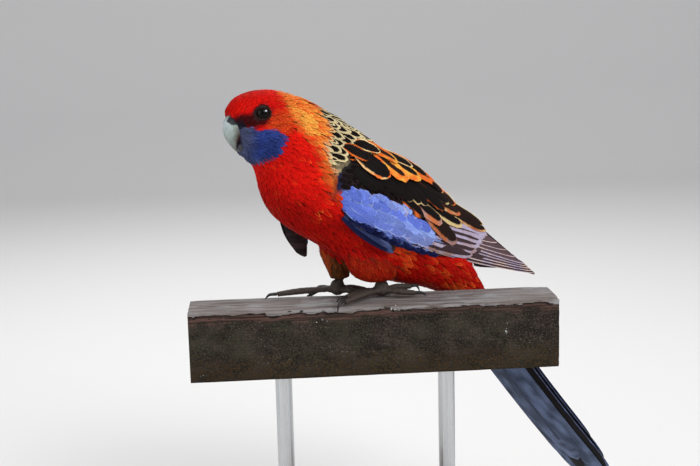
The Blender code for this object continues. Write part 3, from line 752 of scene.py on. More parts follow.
@cache
def feather_finish(name, barbs, slant, soft, roughness, gloss, fray=1.0):
    """Vanes with a shaft, slanting barbs and a margin of their own colour.

    barbs is how many barb ridges a vane has, slant their lean, soft how soft the
    margin's inner edge is, and fray how uneven it runs.
    """
    look = Finish(name, roughness, gloss)
    add, times = look.add, look.times
    vane = look.node("SeparateXYZ", {0: look.node("UVMap", {}, uv_map="vane")}).node.outputs
    side = look.sum("ABSOLUTE", look.sum("MULTIPLY_ADD", vane[0], 2.0, -1.0))
    beyond = look.sum("DIVIDE", look.sum("SUBTRACT", vane[1], VANE_TIP), 1.0 - VANE_TIP)
    beyond = look.sum("MAXIMUM", beyond, 0.0)
    radius = add(look.sum("POWER", side, VANE_ROUND), look.sum("POWER", beyond, VANE_ROUND))
    radius = look.sum("POWER", radius, 1.0 / VANE_ROUND)
    for scale, amount in ((900.0, 0.35), (190.0, 0.30)):
        ragged = look.sum("SUBTRACT", look.noise(scale, 2.0), 0.5)
        radius = add(radius, times(ragged, amount * fray))
    margin, rim = look.painted("margin")
    start = look.sum("SUBTRACT", look.sum("SUBTRACT", 1.0, rim), soft)
    share = look.spread(radius, start, add(start, 2.0 * soft))
    colour = look.blend(share, look.painted()[0], margin)
    ridge = look.sum("SINE", times(add(times(vane[1], barbs), times(side, -slant)), 2.0 * math.pi))
    tone = add(times(ridge, 0.10), look.spread(look.noise(1500.0, 2.0), 0.3, 0.7, 0.72, 1.12))
    colour = look.shaded(colour, look.node("CombineColor", dict.fromkeys(range(3), tone)))
    shaft = look.spread(side, 0.03, 0.09, 1.0, 0.0)
    colour = look.blend(times(shaft, 0.18), colour, (0.02, 0.012, 0.012))
    return look.done(colour, add(times(ridge, 0.5), times(shaft, 1.5)), 0.35, 0.0001)


@cache
def quill_underside():
    """Dull dark quills seen from below."""
    look = Finish("quill_underside", 0.6, 0.15)
    quill = tints()["quill"]
    lines = look.noise(300.0, 3.0, (0.15, 0.6, 1.6))
    return look.done(look.coats(tuple(quill * 0.3), (lines, 0.35, 0.65, 1.0, tuple(quill))),
                     lines, 0.4, 0.0003)


@cache
def horn_finish():
    """Satin horn with fine growth lines."""
    look = Finish("bill_horn", 0.42, 0.3, **{"Coat Weight": 0.04})
    horn = look.painted()[0]
    lines = look.noise(700.0, 3.0, (1.0, 1.0, 0.35))
    look.feed(look.shader["Roughness"], look.spread(lines, 0.3, 0.7, 0.30, 0.48))
    worn = look.shaded(horn, (0.62, 0.60, 0.55))
    return look.done(look.coats(horn, (lines, 0.35, 0.75, 0.35, worn)), lines, 0.3, 0.0002)


@cache
def grained_finish(name, roughness, gloss, scale, dark, light, relief):
    """Bare skin or horn with a fine grain between two colours."""
    look = Finish(name, roughness, gloss)
    grain = look.noise(scale)
    return look.done(look.coats(dark, (grain, 0.35, 0.7, 1.0, light)), grain, *relief)


@cache
def eye_finish():
    """The eye's wet gloss."""
    look = Finish("eye_gloss", 0.06, 0.09)
    fleck = look.noise(2500.0, 2.0)
    return look.done(look.coats(look.painted()[0], (fleck, 0.4, 0.7, 0.25, (0.004, 0.003, 0.003))))


@cache
def scale_finish():
    """Dull scaly skin with pale dry edges."""
    look = Finish("foot_scales", 0.62, 0.4)
    skin = look.painted()[0]
    cells = look.node("TexVoronoi", {"Vector": look.place}, feature="DISTANCE_TO_EDGE")
    cells.node.inputs["Scale"].default_value = 1100.0
    seam = look.spread(cells, 0.02, 0.16)
    return look.done(look.blend(seam, look.shaded(skin, (0.35, 0.33, 0.32)), skin),
                     seam, 0.6, 0.0003)


# Vanes ------------------------------------------------------------------------------------

def vane_outline(v, tip, base, power):
    """Half width of a vane along its length, as a share: a narrow root and a round tip."""
    beyond = np.clip((v - tip) / (1.0 - tip), 0.0, 1.0)
    round_end = (1.0 - beyond ** power) ** (1.0 / power)
    root = base + (1.0 - base) * np.clip(v / 0.38, 0.0, 1.0) ** 0.7
    return root * round_end


def vane_piece(name, lines, ups, widths, look, spots, shape):
    """Closed thin vanes, one for each line, joined as one piece.

    lines and ups give places and normals along each vane, and shape the named sizes:
    stations, columns, tip, base, power, thick, camber, shaft, ragged, lean and crisp.
    look is the middle colour, two margin colours that mix along the vane, and the
    margin's share. spots are the roots' places on the skin's unwrap.
    """
    shape = {"power": 2.4, "ragged": 0.0, "shaft": 0.0, "lean": 0.0, "crisp": 1.0, **shape}
    v = shape["stations"]
    count, rows, columns = len(lines), len(v), shape["columns"] + 1
    along = unit(np.gradient(lines, axis=1))
    across = unit(np.cross(ups, along))
    face = unit(np.cross(along, across))[:, :, None]
    along, across = along[:, :, None], across[:, :, None]
    swing = np.linspace(-1.0, 1.0, columns)
    outline = vane_outline(v, shape["tip"], shape["base"], shape["power"])
    half = outline[:, None] * widths[:, None, None] / 2
    sheet = lines[:, :, None] + across * (swing * half)[..., None]
    fray = cloud(sheet.reshape(-1, 3), 0.8, 8).reshape(sheet.shape[:3]) - 0.5
    fray = fray * shape["ragged"] * rise(v, 0.3, 0.9)[:, None]
    sheet = (sheet + across * (swing * half * fray)[..., None]
             + along * (fray * half * 1.5)[..., None]
             - face * (shape["camber"] * half * swing ** 2)[..., None])
    bulge = np.sin(np.pi * np.clip(0.08 + 0.92 * v, 0.0, 1.0))[:, None] ** 0.5
    bulge = shape["thick"] / 2 * (1.0 - swing ** 2) * bulge
    ridge = shape["shaft"] * np.exp(-(swing / 0.12) ** 2) * (1.0 - v)[:, None] ** 0.5
    top = sheet + face * (bulge + ridge)[..., None]
    low = sheet - face * bulge[..., None]
    top[:, 0] = sheet[:, 0]
    top[:, -1] = sheet[:, -1]

    def both(upper, lower):
        """The vane's upper face and the part of its lower face inside the rim, as rows."""
        parts = upper.reshape(count, rows * columns, -1), lower[:, 1:-1, 1:-1]
        return np.concatenate([parts[0], parts[1].reshape(count, -1, lower.shape[-1])], axis=1)

    points = both(top, low)
    each = points.shape[1]
    points = points.reshape(-1, 3)
    grid = np.arange(rows * columns).reshape(rows, columns)
    under = grid.copy()
    under[1:-1, 1:-1] = np.arange(rows * columns, each).reshape(rows - 2, columns - 2)
    faces = np.stack([quads(grid), quads(under)[:, [0, 3, 2, 1]]], 1).reshape(-1, 4)
    faces = (faces + (np.arange(count) * each)[:, None, None]).reshape(-1, 4)
    thing = make_object(name, to_world(points), faces)
    mesh = thing.data
    on_rim = np.zeros(each, bool)
    on_rim[np.concatenate([grid[0], grid[-1], grid[:, 0], grid[:, -1]])] = True
    sharp = on_rim[read(mesh.edges, "vertices", 2, np.int32) % each].all(axis=1)
    mesh.attributes.new("sharp_edge", "BOOLEAN", "EDGE").data.foreach_set("value", sharp)
    lean = np.broadcast_to(np.asarray(shape["lean"], float), (count,))[:, None, None]
    sideways = 0.5 + 0.5 * (swing * (1.0 - np.abs(lean) / 2) + lean / 2)
    sideways = np.broadcast_to(sideways, (count, rows, columns))
    even = np.interp(v, (0.0, shape["tip"], 1.0), (0.0, VANE_TIP, 1.0))
    past = np.clip((even - VANE_TIP) / (1.0 - VANE_TIP), 0.0, 1.0) ** shape["crisp"]
    even = np.where(even > VANE_TIP, VANE_TIP + (1.0 - VANE_TIP) * past, even)
    flat = np.stack([sideways, np.broadcast_to(even[:, None], sideways.shape)], -1)
    flat = both(flat, flat)
    set_uv(mesh, "vane", flat.reshape(-1, 2))
    patch = spots[:, None, :] + (flat - 0.5) * BAKE_PATCH
    set_uv(mesh, "OFBake", np.clip(patch, 0.0, 1.0).reshape(-1, 2))
    middle, near, far, rim = (np.repeat(part, each, 0) for part in look)
    share = rise(cloud(points, 4.5, 9), 0.30, 0.70)
    set_colours(mesh, "plumage", middle)
    set_colours(mesh, "margin", over(near, far, share), rim)
    return thing


def unwrap_place(points):
    """Where places on the coat lie on the unwrap of the skin."""
    return shop["skin_spots"][nearest(points)[0]]


def grow_roots():
    """Roots of the small feathers, spread evenly by the gap that each place calls for."""
    skin = coat()
    rng = np.random.default_rng(COAT_SEED)
    a, b, c = (skin["vertices"][skin["triangles"][:, k]] for k in range(3))
    centre = (a + b + c) / 3
    zone = skin["zone"][skin["triangles"][:, 0]]
    gap = feather_gap(centre, zone)
    area = np.linalg.norm(np.cross(b - a, c - a), axis=1) / 2
    weight = area / gap ** 2
    total = int(weight.sum() * 9)
    pick = rng.choice(len(area), total, p=weight / weight.sum())
    r = np.sqrt(rng.random(total))[:, None]
    q = rng.random(total)[:, None]
    points = a[pick] * (1 - r) + b[pick] * (r * (1 - q)) + c[pick] * (r * q)
    normals = unit(sum(skin["normals"][skin["triangles"][pick, k]] for k in range(3)))
    zone = zone[pick]
    gap = gap[pick]
    tree = KDTree(total)
    for k, p in enumerate(points):
        tree.insert(tuple(p), k)
    tree.balance()
    gone = np.zeros(total, bool)
    kept = []
    for k in range(total):
        if gone[k]:
            continue
        kept.append(k)
        for _, other, _ in tree.find_range(tuple(points[k]), gap[k]):
            gone[other] = True
    kept = np.array(kept)
    return points[kept], normals[kept], zone[kept], gap[kept]


def snap(points):
    """Nearest places and normals on the coat's surface."""
    first, places = nearest(points)
    return places, coat()["normals"][first]


def comb(points, normals, lie, lengths, stations, root_depth, tip_lift):
    """Lines that follow the coat from below its surface at the root to just above at the tip."""
    lines = []
    ups = []
    place_now = points
    up = normals
    before = 0.0
    for v in stations:
        step = (v - before) * lengths
        moved = place_now + lie * step[:, None]
        if v > 0:
            place_now, fresh = snap(moved)
            up = unit(up * 0.35 + fresh * 0.65)
            lie = unit(lie - up * (lie * up).sum(-1, keepdims=True))
        before = v
        height = -root_depth + (root_depth + tip_lift) * v ** 0.75
        lines.append(place_now + up * height[:, None])
        ups.append(up)
    return np.stack(lines, 1), np.stack(ups, 1)


# Operators --------------------------------------------------------------------------------

class ROSELLA_OT_skin(bpy.types.Operator):
    """Make one skin under the whole coat, without seams, carrying the coat's markings"""

    bl_idname = "rosella.skin"
    bl_label = "Skin"

    def execute(self, context):
        surface = coat()
        depth = coat_depth(surface["vertices"], surface["zone"])
        inner = surface["vertices"] - surface["normals"] * depth[:, None]
        skin = make_object("skin", to_world(inner), surface["faces"])
        middle, margin, _ = plumage(surface["vertices"], surface["zone"])
        # The skin carries the coat's colours darkened to three quarters, as painted shade under the
        # feathers.
        set_colours(skin.data, "plumage", (middle * 0.6 + margin * 0.4) * 0.75)
        context.view_layer.objects.active = skin
        skin.select_set(True)
        skin.data.uv_layers.new(name="OFBake")
        bpy.ops.object.mode_set(mode="EDIT")
        bpy.ops.mesh.select_all(action="SELECT")
        bpy.ops.uv.smart_project(angle_limit=math.radians(66.0), island_margin=0.004)
        bpy.ops.object.mode_set(mode="OBJECT")
        skin.select_set(False)
        spots = np.zeros((len(skin.data.vertices), 2))
        spots[read(skin.data.loops, "vertex_index", 1, int)] = read(
            skin.data.uv_layers["OFBake"].data, "uv", 2)
        shop["skin_spots"] = spots
        look = Finish("skin_down", 0.8, 0.2)
        colour = look.painted()[0]
        down = look.noise(1400.0)
        shade = look.shaded(colour, (0.55, 0.5, 0.5))
        material = look.done(look.coats(colour, (down, 0.35, 0.7, 1.0, shade)), down, 0.5, 0.0004)
        finish_piece(skin, material, FLESH)
        return {"FINISHED"}


class ROSELLA_OT_coat(bpy.types.Operator):
    """Grow the small feathers of the head, neck, body, thighs and wing coverts"""

    bl_idname = "rosella.coat"
    bl_label = "Small feathers"

    def execute(self, context):
        points, normals, zone, gap = grow_roots()
        rng = np.random.default_rng(COAT_SEED + 1)
        lie = flow(points, normals, zone)
        turn = np.radians(rng.normal(0.0, 7.0, len(points)))
        turn = np.where(zone >= WING_LEFT, turn * 0.6, turn)[:, None]
        lie = lie * np.cos(turn) + np.cross(normals, lie) * np.sin(turn)
        red = (zone < WING_LEFT) & (inside(points[:, (0, 2)], COLLAR, 1.0) < 0.5)
        reach = np.where(red, np.where(zone == HEAD, 3.4, 3.9), 2.9) * gap
        reach = reach * rng.uniform(0.85, 1.18, len(points))
        clear = self.clear(points, lie, reach, zone)
        points, normals, zone, gap, lie, reach, red = (
            values[clear] for values in (points, normals, zone, gap, lie, reach, red))
        middle, margin, rim = plumage(snap(points + lie * (0.6 * reach)[:, None])[0], zone)
        tone = rng.uniform(0.82, 1.15, (len(points), 1))
        middle = middle * tone
        margin = margin * (0.5 + 0.5 * tone)
        root = np.minimum(coat_depth(points, zone) * 0.9, gap * 0.6)
        lift = np.where(red, 0.03 + 0.03 * gap, 0.05 + 0.06 * gap)
        widths = gap * np.where(red, 1.25, 1.6)
        groups = {
            "head_feathers": (zone == HEAD, "head_feathers"),
            "neck_feathers": (zone == NECK, "neck_feathers"),
            "breast_feathers": ((zone == TRUNK) & (points[:, 2] < 70), "body_feathers"),
            "back_feathers": ((zone == TRUNK) & (points[:, 2] >= 70), "body_feathers"),
            "rump_feathers": (zone == RUMP, "rump_feathers"),
            "thigh_feathers": (on_thigh(zone), "rump_feathers"),
            "covert_feathers_left": (zone == WING_LEFT, "wing_coverts"),
            "covert_feathers_right": (zone == WING_RIGHT, "wing_coverts"),
        }
        material = feather_finish("coat_vane", 9.0, 2.2, 0.10, 0.7, 0.04)
        shape = {"tip": 0.45, "base": 0.5, "power": 1.9, "camber": 0.12, "ragged": 0.7,
                 "thick": context.scene.rosella_sizes.vane}
        for name, (on, slot) in groups.items():
            if name == "head_feathers":
                shape.update(stations=np.array((0.0, 0.35, 0.72, 1.0)), columns=2)
            else:
                shape.update(stations=np.array((0.0, 0.26, 0.54, 0.82, 1.0)), columns=4)
            lines, ups = comb(points[on], normals[on], lie[on], reach[on], shape["stations"],
                              root[on], lift[on])
            look = (middle[on], margin[on], margin[on], rim[on])
            piece = vane_piece(name, lines, ups, widths[on], look, unwrap_place(points[on]), shape)
            finish_piece(piece, material)
        return {"FINISHED"}

    def clear(self, points, lie, reach, zone):
        """Which feathers keep clear of the eyes, the bill, the wings' edges and the tail."""
        x, y, z = points.T
        clear = np.ones(len(points), bool)
        for side in SIDES:
            eye = mirrored(EYE, side)
            for share in (0.0, 0.5, 1.0):
                away = np.linalg.norm(points + lie * (reach * share)[:, None] - eye, axis=1)
                clear &= away > EYE_RADIUS + 0.7
        bill = bird_bvh(*bill_surface()[::2])
        for k in np.nonzero(x < -60.0)[0]:
            near, facing, _, away = bill.find_nearest(tuple(points[k]))
            clear[k] &= away >= 0.3 and (Vector(points[k]) - near).dot(facing) >= 0.0
        ends = nearest(snap(points + lie * reach[:, None])[0])[0]
        clear &= (zone >= THIGH_LEFT) | (np.abs(y) <= 12.0) | (coat()["zone"][ends] < WING_LEFT)
        clear &= (zone < WING_LEFT) | (x <= 46.0) | (z >= line_height(WING_TOP, x) - 12.0)
        return clear & ((x <= 84.0) | (z >= -19.0))


# Long feathers of the wing, laid in the side view. Each row holds a root (x, z), a tip, a
# width, a lift off the wing, a bow, the middle's colour, the margin's two colours, the
# margin's share, and its lean: -1 puts it on the lower edge alone. A fan runs from its first
# row to its last, in as many feathers as the number after them.
PRIMARIES = (
    (28, 33.5, 138.2, -2.6, 5.4, 0.25, 0.0, "quill", "lilac", "blush", 0.13, -1.0),
    (42, 42, 130.0, 4.4, 6.6, 0.7, 0.2, "mauve", "lilac", "blush", 0.12, -1.0),
    (50, 47, 98.0, 27.0, 8.6, 1.1, 0.5, "mauve", "blush", "rose", 0.09, -1.0),
)
QUILL_STATIONS = np.linspace(0.0, 1.0, 19) ** 0.9
# Long quills lie flat on each other, so that each one's pale lower edge shows.
FLAT_VANE = {"camber": 0.01, "thick": 0.16, "shaft": 0.04}
SECONDARIES = (
    (32, 34, 80.0, 18.6, 5.6, 1.5, -0.5, "quill", "lilac", "rose", 0.32, -0.9),
    (47, 47, 97.0, 28.2, 6.4, 2.1, 0.0, "quill", "lilac", "lilac", 0.74, -0.9),
)
LONG_COVERTS = (
    ((-18, 59.3, -3, 50.2, 6.0, 0.3, -0.6, "sky", "pale_sky", "sky", 0.16, -0.3),
     (34, 35.0, 53.5, 26.4, 7.5, 0.6, -0.5, "pale_slate", "pale_sky", "lilac", 0.2, -0.3), 8),
    ((-17.2, 64.6, -5, 56.2, 5.6, 0.4, 0.0, "sky", "pale_sky", "sky", 0.16, 0.0),
     (30, 43.5, 47, 33.5, 7.5, 0.7, 0.0, "pale_sky", "pale_sky", "sky", 0.2, 0.0), 9),
    ((-16.4, 68.8, -8, 61.6, 5.0, 0.5, 0.0, "sky", "pale_sky", "sky", 0.16, 0.0),
     (26, 51.0, 40, 41.0, 7.0, 0.8, 0.0, "sky", "pale_sky", "sky", 0.2, 0.0), 9),
)
RUFFLE = (
    (-15, 71.0, -11.0, 66.0, 3.6, 0.5, 0.4, "sky", "pale_sky", "sky", 0.22, 0.0),
    (22, 56, 29.0, 49.5, 4.4, 0.8, 0.4, "pale_sky", "lilac", "sky", 0.3, 0.0),
)
DARK_COVERTS = (
    (-12, 80, 6.0, 67.0, 9.0, 0.9, 0.0, "soot", "soot", "soot", 0.10, 0.0),
    (14, 75, 32.0, 59.5, 9.5, 1.2, 0.0, "soot", "soot", "umber", 0.12, 0.0),
)
SINGLES = (
    (16, 71, 27.5, 59.5, 7.5, 1.5, 0.0, "soot", "cream", "soot", 0.10, -0.6),
    (22, 71, 34.5, 56.5, 8.0, 1.6, 0.0, "soot", "cream", "umber", 0.12, -0.6),
    (28, 70, 40.5, 54.0, 8.0, 1.7, 0.0, "soot", "cream", "umber", 0.12, -0.6),
    (20, 62, 36.0, 49.0, 8.0, 1.4, 0.0, "soot", "orange", "umber", 0.35, -0.8),
    (33, 58, 64.0, 28.4, 11.0, 2.1, -1.0, "umber", "rust", "rose", 0.22, -0.9),
    (27, 62, 50.5, 42.0, 8.5, 2.4, -1.0, "soot", "rust", "rose", 0.36, -0.9),
    (42, 56, 72.0, 36.6, 7.5, 2.3, -1.0, "soot", "cream", "cream", 0.28, -1.0),
    (43, 61, 73.0, 43.6, 7.0, 2.5, -0.6, "umber", "cream", "rust", 0.30, -1.0),
    (54, 56, 95.5, 29.2, 8.0, 2.8, -1.2, "umber", "rust", "cream", 0.18, -0.8),
    (50, 61, 95.0, 33.0, 6.5, 3.0, 0.0, "umber", "cream", "cream", 0.16, 0.4),
    (32, 70, 56.0, 49.0, 9.5, 2.3, 0.0, "soot", "umber", "orange", 0.14, 0.0),
    (36, 71, 62.5, 51.5, 8.5, 2.5, 0.0, "soot", "cream", "umber", 0.18, -0.5),
    (44, 70, 70.0, 49.5, 7.5, 2.6, 0.0, "umber", "cream", "orange", 0.22, 0.3),
    (24, 83, 55.5, 63.4, 10.5, 2.5, 0.0, "umber", "orange", "orange", 0.80, 0.0),
    (34, 78, 60.0, 58.0, 7.0, 2.7, 0.0, "soot", "orange", "cream", 0.30, 0.5),
    (14, 86, 39.0, 68.5, 9.5, 2.5, -1.0, "soot", "orange", "straw", 0.66, -0.4),
    (24, 86, 48.0, 68.5, 6.5, 2.8, 0.0, "soot", "cream", "orange", 0.30, 0.5),
    (5, 90, 27.0, 71.0, 11.0, 2.4, -1.0, "umber", "orange", "straw", 0.68, 0.0),
    (12, 90, 35.0, 75.5, 7.0, 2.8, 0.0, "soot", "orange", "cream", 0.34, 0.2),
    (-9, 92, 11.5, 74.0, 11.5, 2.3, -1.0, "soot", "orange", "cream", 0.16, -0.5),
    (2, 94, 21.0, 80.5, 8.0, 2.8, 0.0, "umber", "orange", "straw", 0.60, 0.0),
    (-15, 95, -2.0, 84.5, 7.0, 2.5, 0.0, "soot", "umber", "orange", 0.26, 0.0),
    (-7, 97, 8.5, 87.0, 6.5, 2.8, 0.0, "soot", "cream", "orange", 0.20, 0.0),
)
ALULA_FANS = {
    "left": ((-19, 54.0, 17.0, 28.8, 5.4, 0.2, -1.0, "navy", "navy", "slate", 0.20, 0.8),
             (-14.5, 58.6, 11.5, 38.6, 4.6, 0.8, 0.0, "slate", "pale_slate", "slate", 0.6, 0.6)),
    "right": ((-34, 52.0, -17.0, 23.6, 6.4, 0.2, -1.0, "soot", "slate", "soot", 0.2, 0.4),
              (-24, 52.0, -14.6, 30.0, 6.0, 0.8, 0.0, "soot", "slate", "soot", 0.2, 0.4)),
}


# How soft and how frayed the inner edge of a feather's margin is.
VANE_EDGES = {"flight_vane": (0.12, 1.0), "quill_vane": (0.04, 0.25), "shoulder_vane": (0.07, 0.5)}
# Each kind of long feather: its fans, its outline, how far its ends stray, how much its tone
# varies and the kind of its vanes.
LONG_FEATHERS = {
    "flight_feathers": (((*PRIMARIES[:2], 5), (*PRIMARIES[1:], 5)),
                        {"tip": 0.45, "power": 1.6, "crisp": 5.0, **FLAT_VANE},
                        0.15, 0.15, "quill_vane"),
    "secondary_feathers": (((*SECONDARIES, 6),), {"tip": 0.80, "power": 1.9, "crisp": 2.0},
                           0.7, 0.15, "shoulder_vane"),
    "covert_vanes": (LONG_COVERTS, {"tip": 0.60, "power": 1.8, "ragged": 0.3, "crisp": 1.2},
                     1.4, 0.20, "flight_vane"),
    "ruffled_vanes": (((*DARK_COVERTS, 6), (*RUFFLE, 17)),
                      {"tip": 0.5, "power": 1.8, "ragged": 1.0, "crisp": 1.2},
                      1.5, 0.27, "flight_vane"),
    "tertial_feathers": (tuple((row, row, 1) for row in SINGLES),
                         {"tip": 0.60, "power": 2.1, "ragged": 0.25, "crisp": 2.4},
                         0.5, 0.15, "shoulder_vane"),
}
ALULA = ({"tip": 0.5, "power": 1.9, "ragged": 0.1}, 0.15, 0.15, "flight_vane")


def fan(first, last, count):
    """Rows of long feathers from a first one to a last one, with their colours as arrays."""
    tint = tints()
    steps = np.linspace(0.0, 1.0, count)[:, None]
    pairs = [[np.array((*row[:7], *row[10:]), float) for row in (first, last)]]
    pairs += [[tint[a], tint[b]] for a, b in zip(first[7:10], last[7:10])]
    return [a + (b - a) * steps for a, b in pairs]


def wing_droop(places, side):
    """Carry side-view places of the left wing to the right one, which hangs lower in front."""
    if side == "left":
        return places
    x, z = places.T
    high = up_the_wing(x, z)
    share = np.clip((45.0 - x) / 68.0, 0.0, 1.0) * 9.0
    return np.stack([x - share * (1.0 - 0.6 * high), z - share * (1.0 - 0.7 * high)], -1)


@cache
def wing_face(side):
    """A search tree over the outer face of a folded wing."""
    names = [f"wing_{side}_{part}" for part in ("coverts", "secondaries", "primaries")]
    return bird_bvh(*node_solid(names)[:2])


def fitted(stations, values, degree):
    """Values along a vane, evened out to a smooth curve."""
    return np.polyval(np.polyfit(stations, values, degree), stations)


def lay_on_wing(tree, side, rows, stations, droop=True):
    """Lines laid on the outer face of a wing from roots to tips in the side view."""
    sign = SIGN[side]
    outward = Vector((0.0, sign, 0.0))
    lines = []
    ups = []
    for root_x, root_z, tip_x, tip_z, _, lift, bow, *_ in rows:
        root, tip = np.array((root_x, root_z)), np.array((tip_x, tip_z))
        square = unit(np.array((root_z - tip_z, tip_x - root_x)))
        flat = (root + np.outer(stations, tip - root)
                + np.outer(np.sin(np.pi * stations) * bow, square))
        flat = wing_droop(flat, side) if droop else flat
        out, normal, height = [], [], []
        for x, z in flat:
            hit = tree.ray_cast(Vector((x, sign * 80.0, z)), -outward)
            if hit[0] is None or hit[0].y * sign < 0.0:
                hit = tree.find_nearest(Vector((x, sign * (out[-1] if out else 20.0), z)))
                turned = outward
                height.append(min(z, hit[0].z + 1.5))
            else:
                turned = hit[1] if hit[1].y * sign > 0 else -hit[1]
                height.append(z)
            out.append(hit[0].y * sign)
            normal.append(tuple(turned))
        smooth = unit(np.stack([fitted(stations, axis, 2) for axis in np.array(normal).T], -1))
        drop = np.maximum(fitted(stations, flat[:, 1] - height, 3), 0.0)
        line = np.stack([flat[:, 0], sign * fitted(stations, out, 3), flat[:, 1] - drop], -1)
        lines.append(line + smooth * (lift * np.clip(0.15 + 1.1 * stations, 0.0, 1.0))[:, None])
        ups.append(smooth)
    return np.array(lines), np.array(ups)


class ROSELLA_OT_wings(bpy.types.Operator):
    """Lay the flight feathers, tertials, shoulder feathers and bastard wings"""

    bl_idname = "rosella.wings"
    bl_label = "Wing feathers"

    def execute(self, context):
        rng = np.random.default_rng(COAT_SEED + 2)
        for side in SIDES:
            nodes = (f"wing_{side}_secondaries", f"wing_{side}_primaries")
            for name, (fans, *laying) in LONG_FEATHERS.items():
                stands_for = nodes if name == "flight_feathers" else ()
                self.lay(f"{name}_{side}", side, wing_face(side), rng, fans, laying, stands_for)
            vertices, triangles, _ = node_solid(nodes)
            normals = vertex_normals(vertices, triangles)
            outward = rise(normals[:, 1] * SIGN[side], 0.0, 0.4)
            vertices = vertices - normals * (0.25 + 0.75 * outward)[:, None]
            self.inner(f"under_quills_{side}", vertices, triangles, (), smooth=False)
            nodes = (f"wing_{side}_alula",)
            vertices, triangles, _ = node_solid(nodes, -0.2)
            self.inner(f"alula_lobe_{side}", vertices, triangles, nodes)
            self.lay(f"alula_feathers_{side}", side, bird_bvh(vertices, triangles), rng,
                     ((*ALULA_FANS[side], 4),), ALULA, (), droop=False)
        return {"FINISHED"}

    def lay(self, name, side, tree, rng, fans, laying, nodes, droop=True):
        """One piece of long feathers on a wing."""
        outline, stray, vary, vane = laying
        rows, middle, near, far = (np.concatenate(parts)
                                   for parts in zip(*(fan(*ends) for ends in fans)))
        rows[:, :4] += rng.normal(0.0, stray, (len(rows), 4)) * 0.6
        lines, ups = lay_on_wing(tree, side, rows, QUILL_STATIONS, droop)
        shape = {"stations": QUILL_STATIONS, "columns": 8, "base": 0.35, "thick": 0.3,
                 "camber": 0.10, "shaft": 0.10, "lean": -SIGN[side] * rows[:, 8], **outline}
        tone = 1.0 + rng.uniform(-vary, vary, (len(rows), 1))
        look = (middle * tone, near * tone, far * tone, rows[:, 7])
        piece = vane_piece(name, lines, ups, rows[:, 4], look, unwrap_place(lines[:, 0]), shape)
        soft, fray = VANE_EDGES[vane]
        finish_piece(piece, feather_finish(vane, 34.0, 5.0, soft, 0.6, 0.06, fray),
                     nodes)

    def inner(self, name, vertices, triangles, nodes, smooth=True):
        """A dark inner layer that fills the wing behind its feathers."""
        layer = make_object(name, to_world(vertices), triangles, smooth)
        set_uv(layer.data, "OFBake", unwrap_place(vertices))
        finish_piece(layer, quill_underside(), nodes)


# Tail: offset from the middle, width, share of the full length, layer, roof slope and look.
TAIL = {
    "tail_centre": (0.0, 21.0, 1.0, 0, 0.0, "centre"),
    "tail_left_inner": (-8.3, 15.6, 0.97, 1, -6.0, "near"),
    "tail_right_inner": (8.3, 15.6, 0.97, 1, 6.0, "far"),
    "tail_left_middle": (-10.4, 15.0, 0.91, 2, -9.0, "near"),
    "tail_right_middle": (10.4, 15.0, 0.91, 2, 9.0, "far"),
    "tail_left_outer": (-11.6, 13.6, 0.82, 3, -12.0, "near"),
    "tail_right_outer": (11.6, 13.6, 0.82, 3, 12.0, "outermost"),
}
SHORT_CENTRAL = (3.2, 17.0, 0.875, -0.45, 0.0, "short")
# Looks: the colours of a middle and of its two margins, each with its strength, then the
# margin's share and its lean.
TAIL_LOOKS = {
    "centre": (("soot", 1.0), ("tail_blue", 0.6), ("tail_blue", 1.5), 0.5, 1.0),
    # The near feathers' soot middles are painted shade; the far feathers keep the tail's blue.
    "near": (("soot", 1.0), ("tail_blue", 1.0), ("pale_slate", 1.0), 0.08, 0.0),
    "far": (("tail_blue", 0.6), ("tail_blue", 0.5), ("tail_blue", 1.5), 0.92, 0.0),
    "outermost": (("tail_blue", 0.8), ("lilac", 0.8), ("tail_blue", 1.6), 0.14, 0.9),
    "short": (("tail_blue", 0.7), ("tail_blue", 0.6), ("tail_blue", 1.8), 0.85, 0.2),
}
TAIL_ROOT = (62.4, 0.0, 12.4)
TAIL_LENGTH = 200.0
TAIL_TURN = math.radians(-12.0)
TAIL_DROP = (57.0, 50.0)           # degrees below level, at the root and at the tip
TAIL_BANK = math.radians(33.0)
TAIL_LAYER = 1.5
TAIL_STEPS = 60


def tail_line(offset, share, layer, slope, stations):
    """Places and normals along one tail feather on the tail's bent, banked line."""
    turn = Matrix.Rotation(TAIL_TURN, 3, "Z")
    level = turn @ Vector((0.0, 1.0, 0.0))
    spot = Vector(TAIL_ROOT)
    places = []
    normals = []
    for k in range(TAIL_STEPS + 1):
        s = k / TAIL_STEPS
        drop = math.radians(TAIL_DROP[0] + (TAIL_DROP[1] - TAIL_DROP[0]) * s * share)
        along = turn @ Vector((math.cos(drop), 0.0, -math.sin(drop)))
        across = Matrix.Rotation(-TAIL_BANK, 3, along) @ level
        upper = across.cross(along)
        opening = min(1.0, 0.5 + 1.6 * s)
        places.append(tuple(spot + across * offset * opening - upper * layer * TAIL_LAYER))
        normals.append(tuple(Matrix.Rotation(math.radians(-slope), 3, along) @ upper))
        spot = spot + along * (TAIL_LENGTH * share / TAIL_STEPS)
    grid = np.linspace(0, 1, TAIL_STEPS + 1)
    return between(places, stations, grid), unit(between(normals, stations, grid))


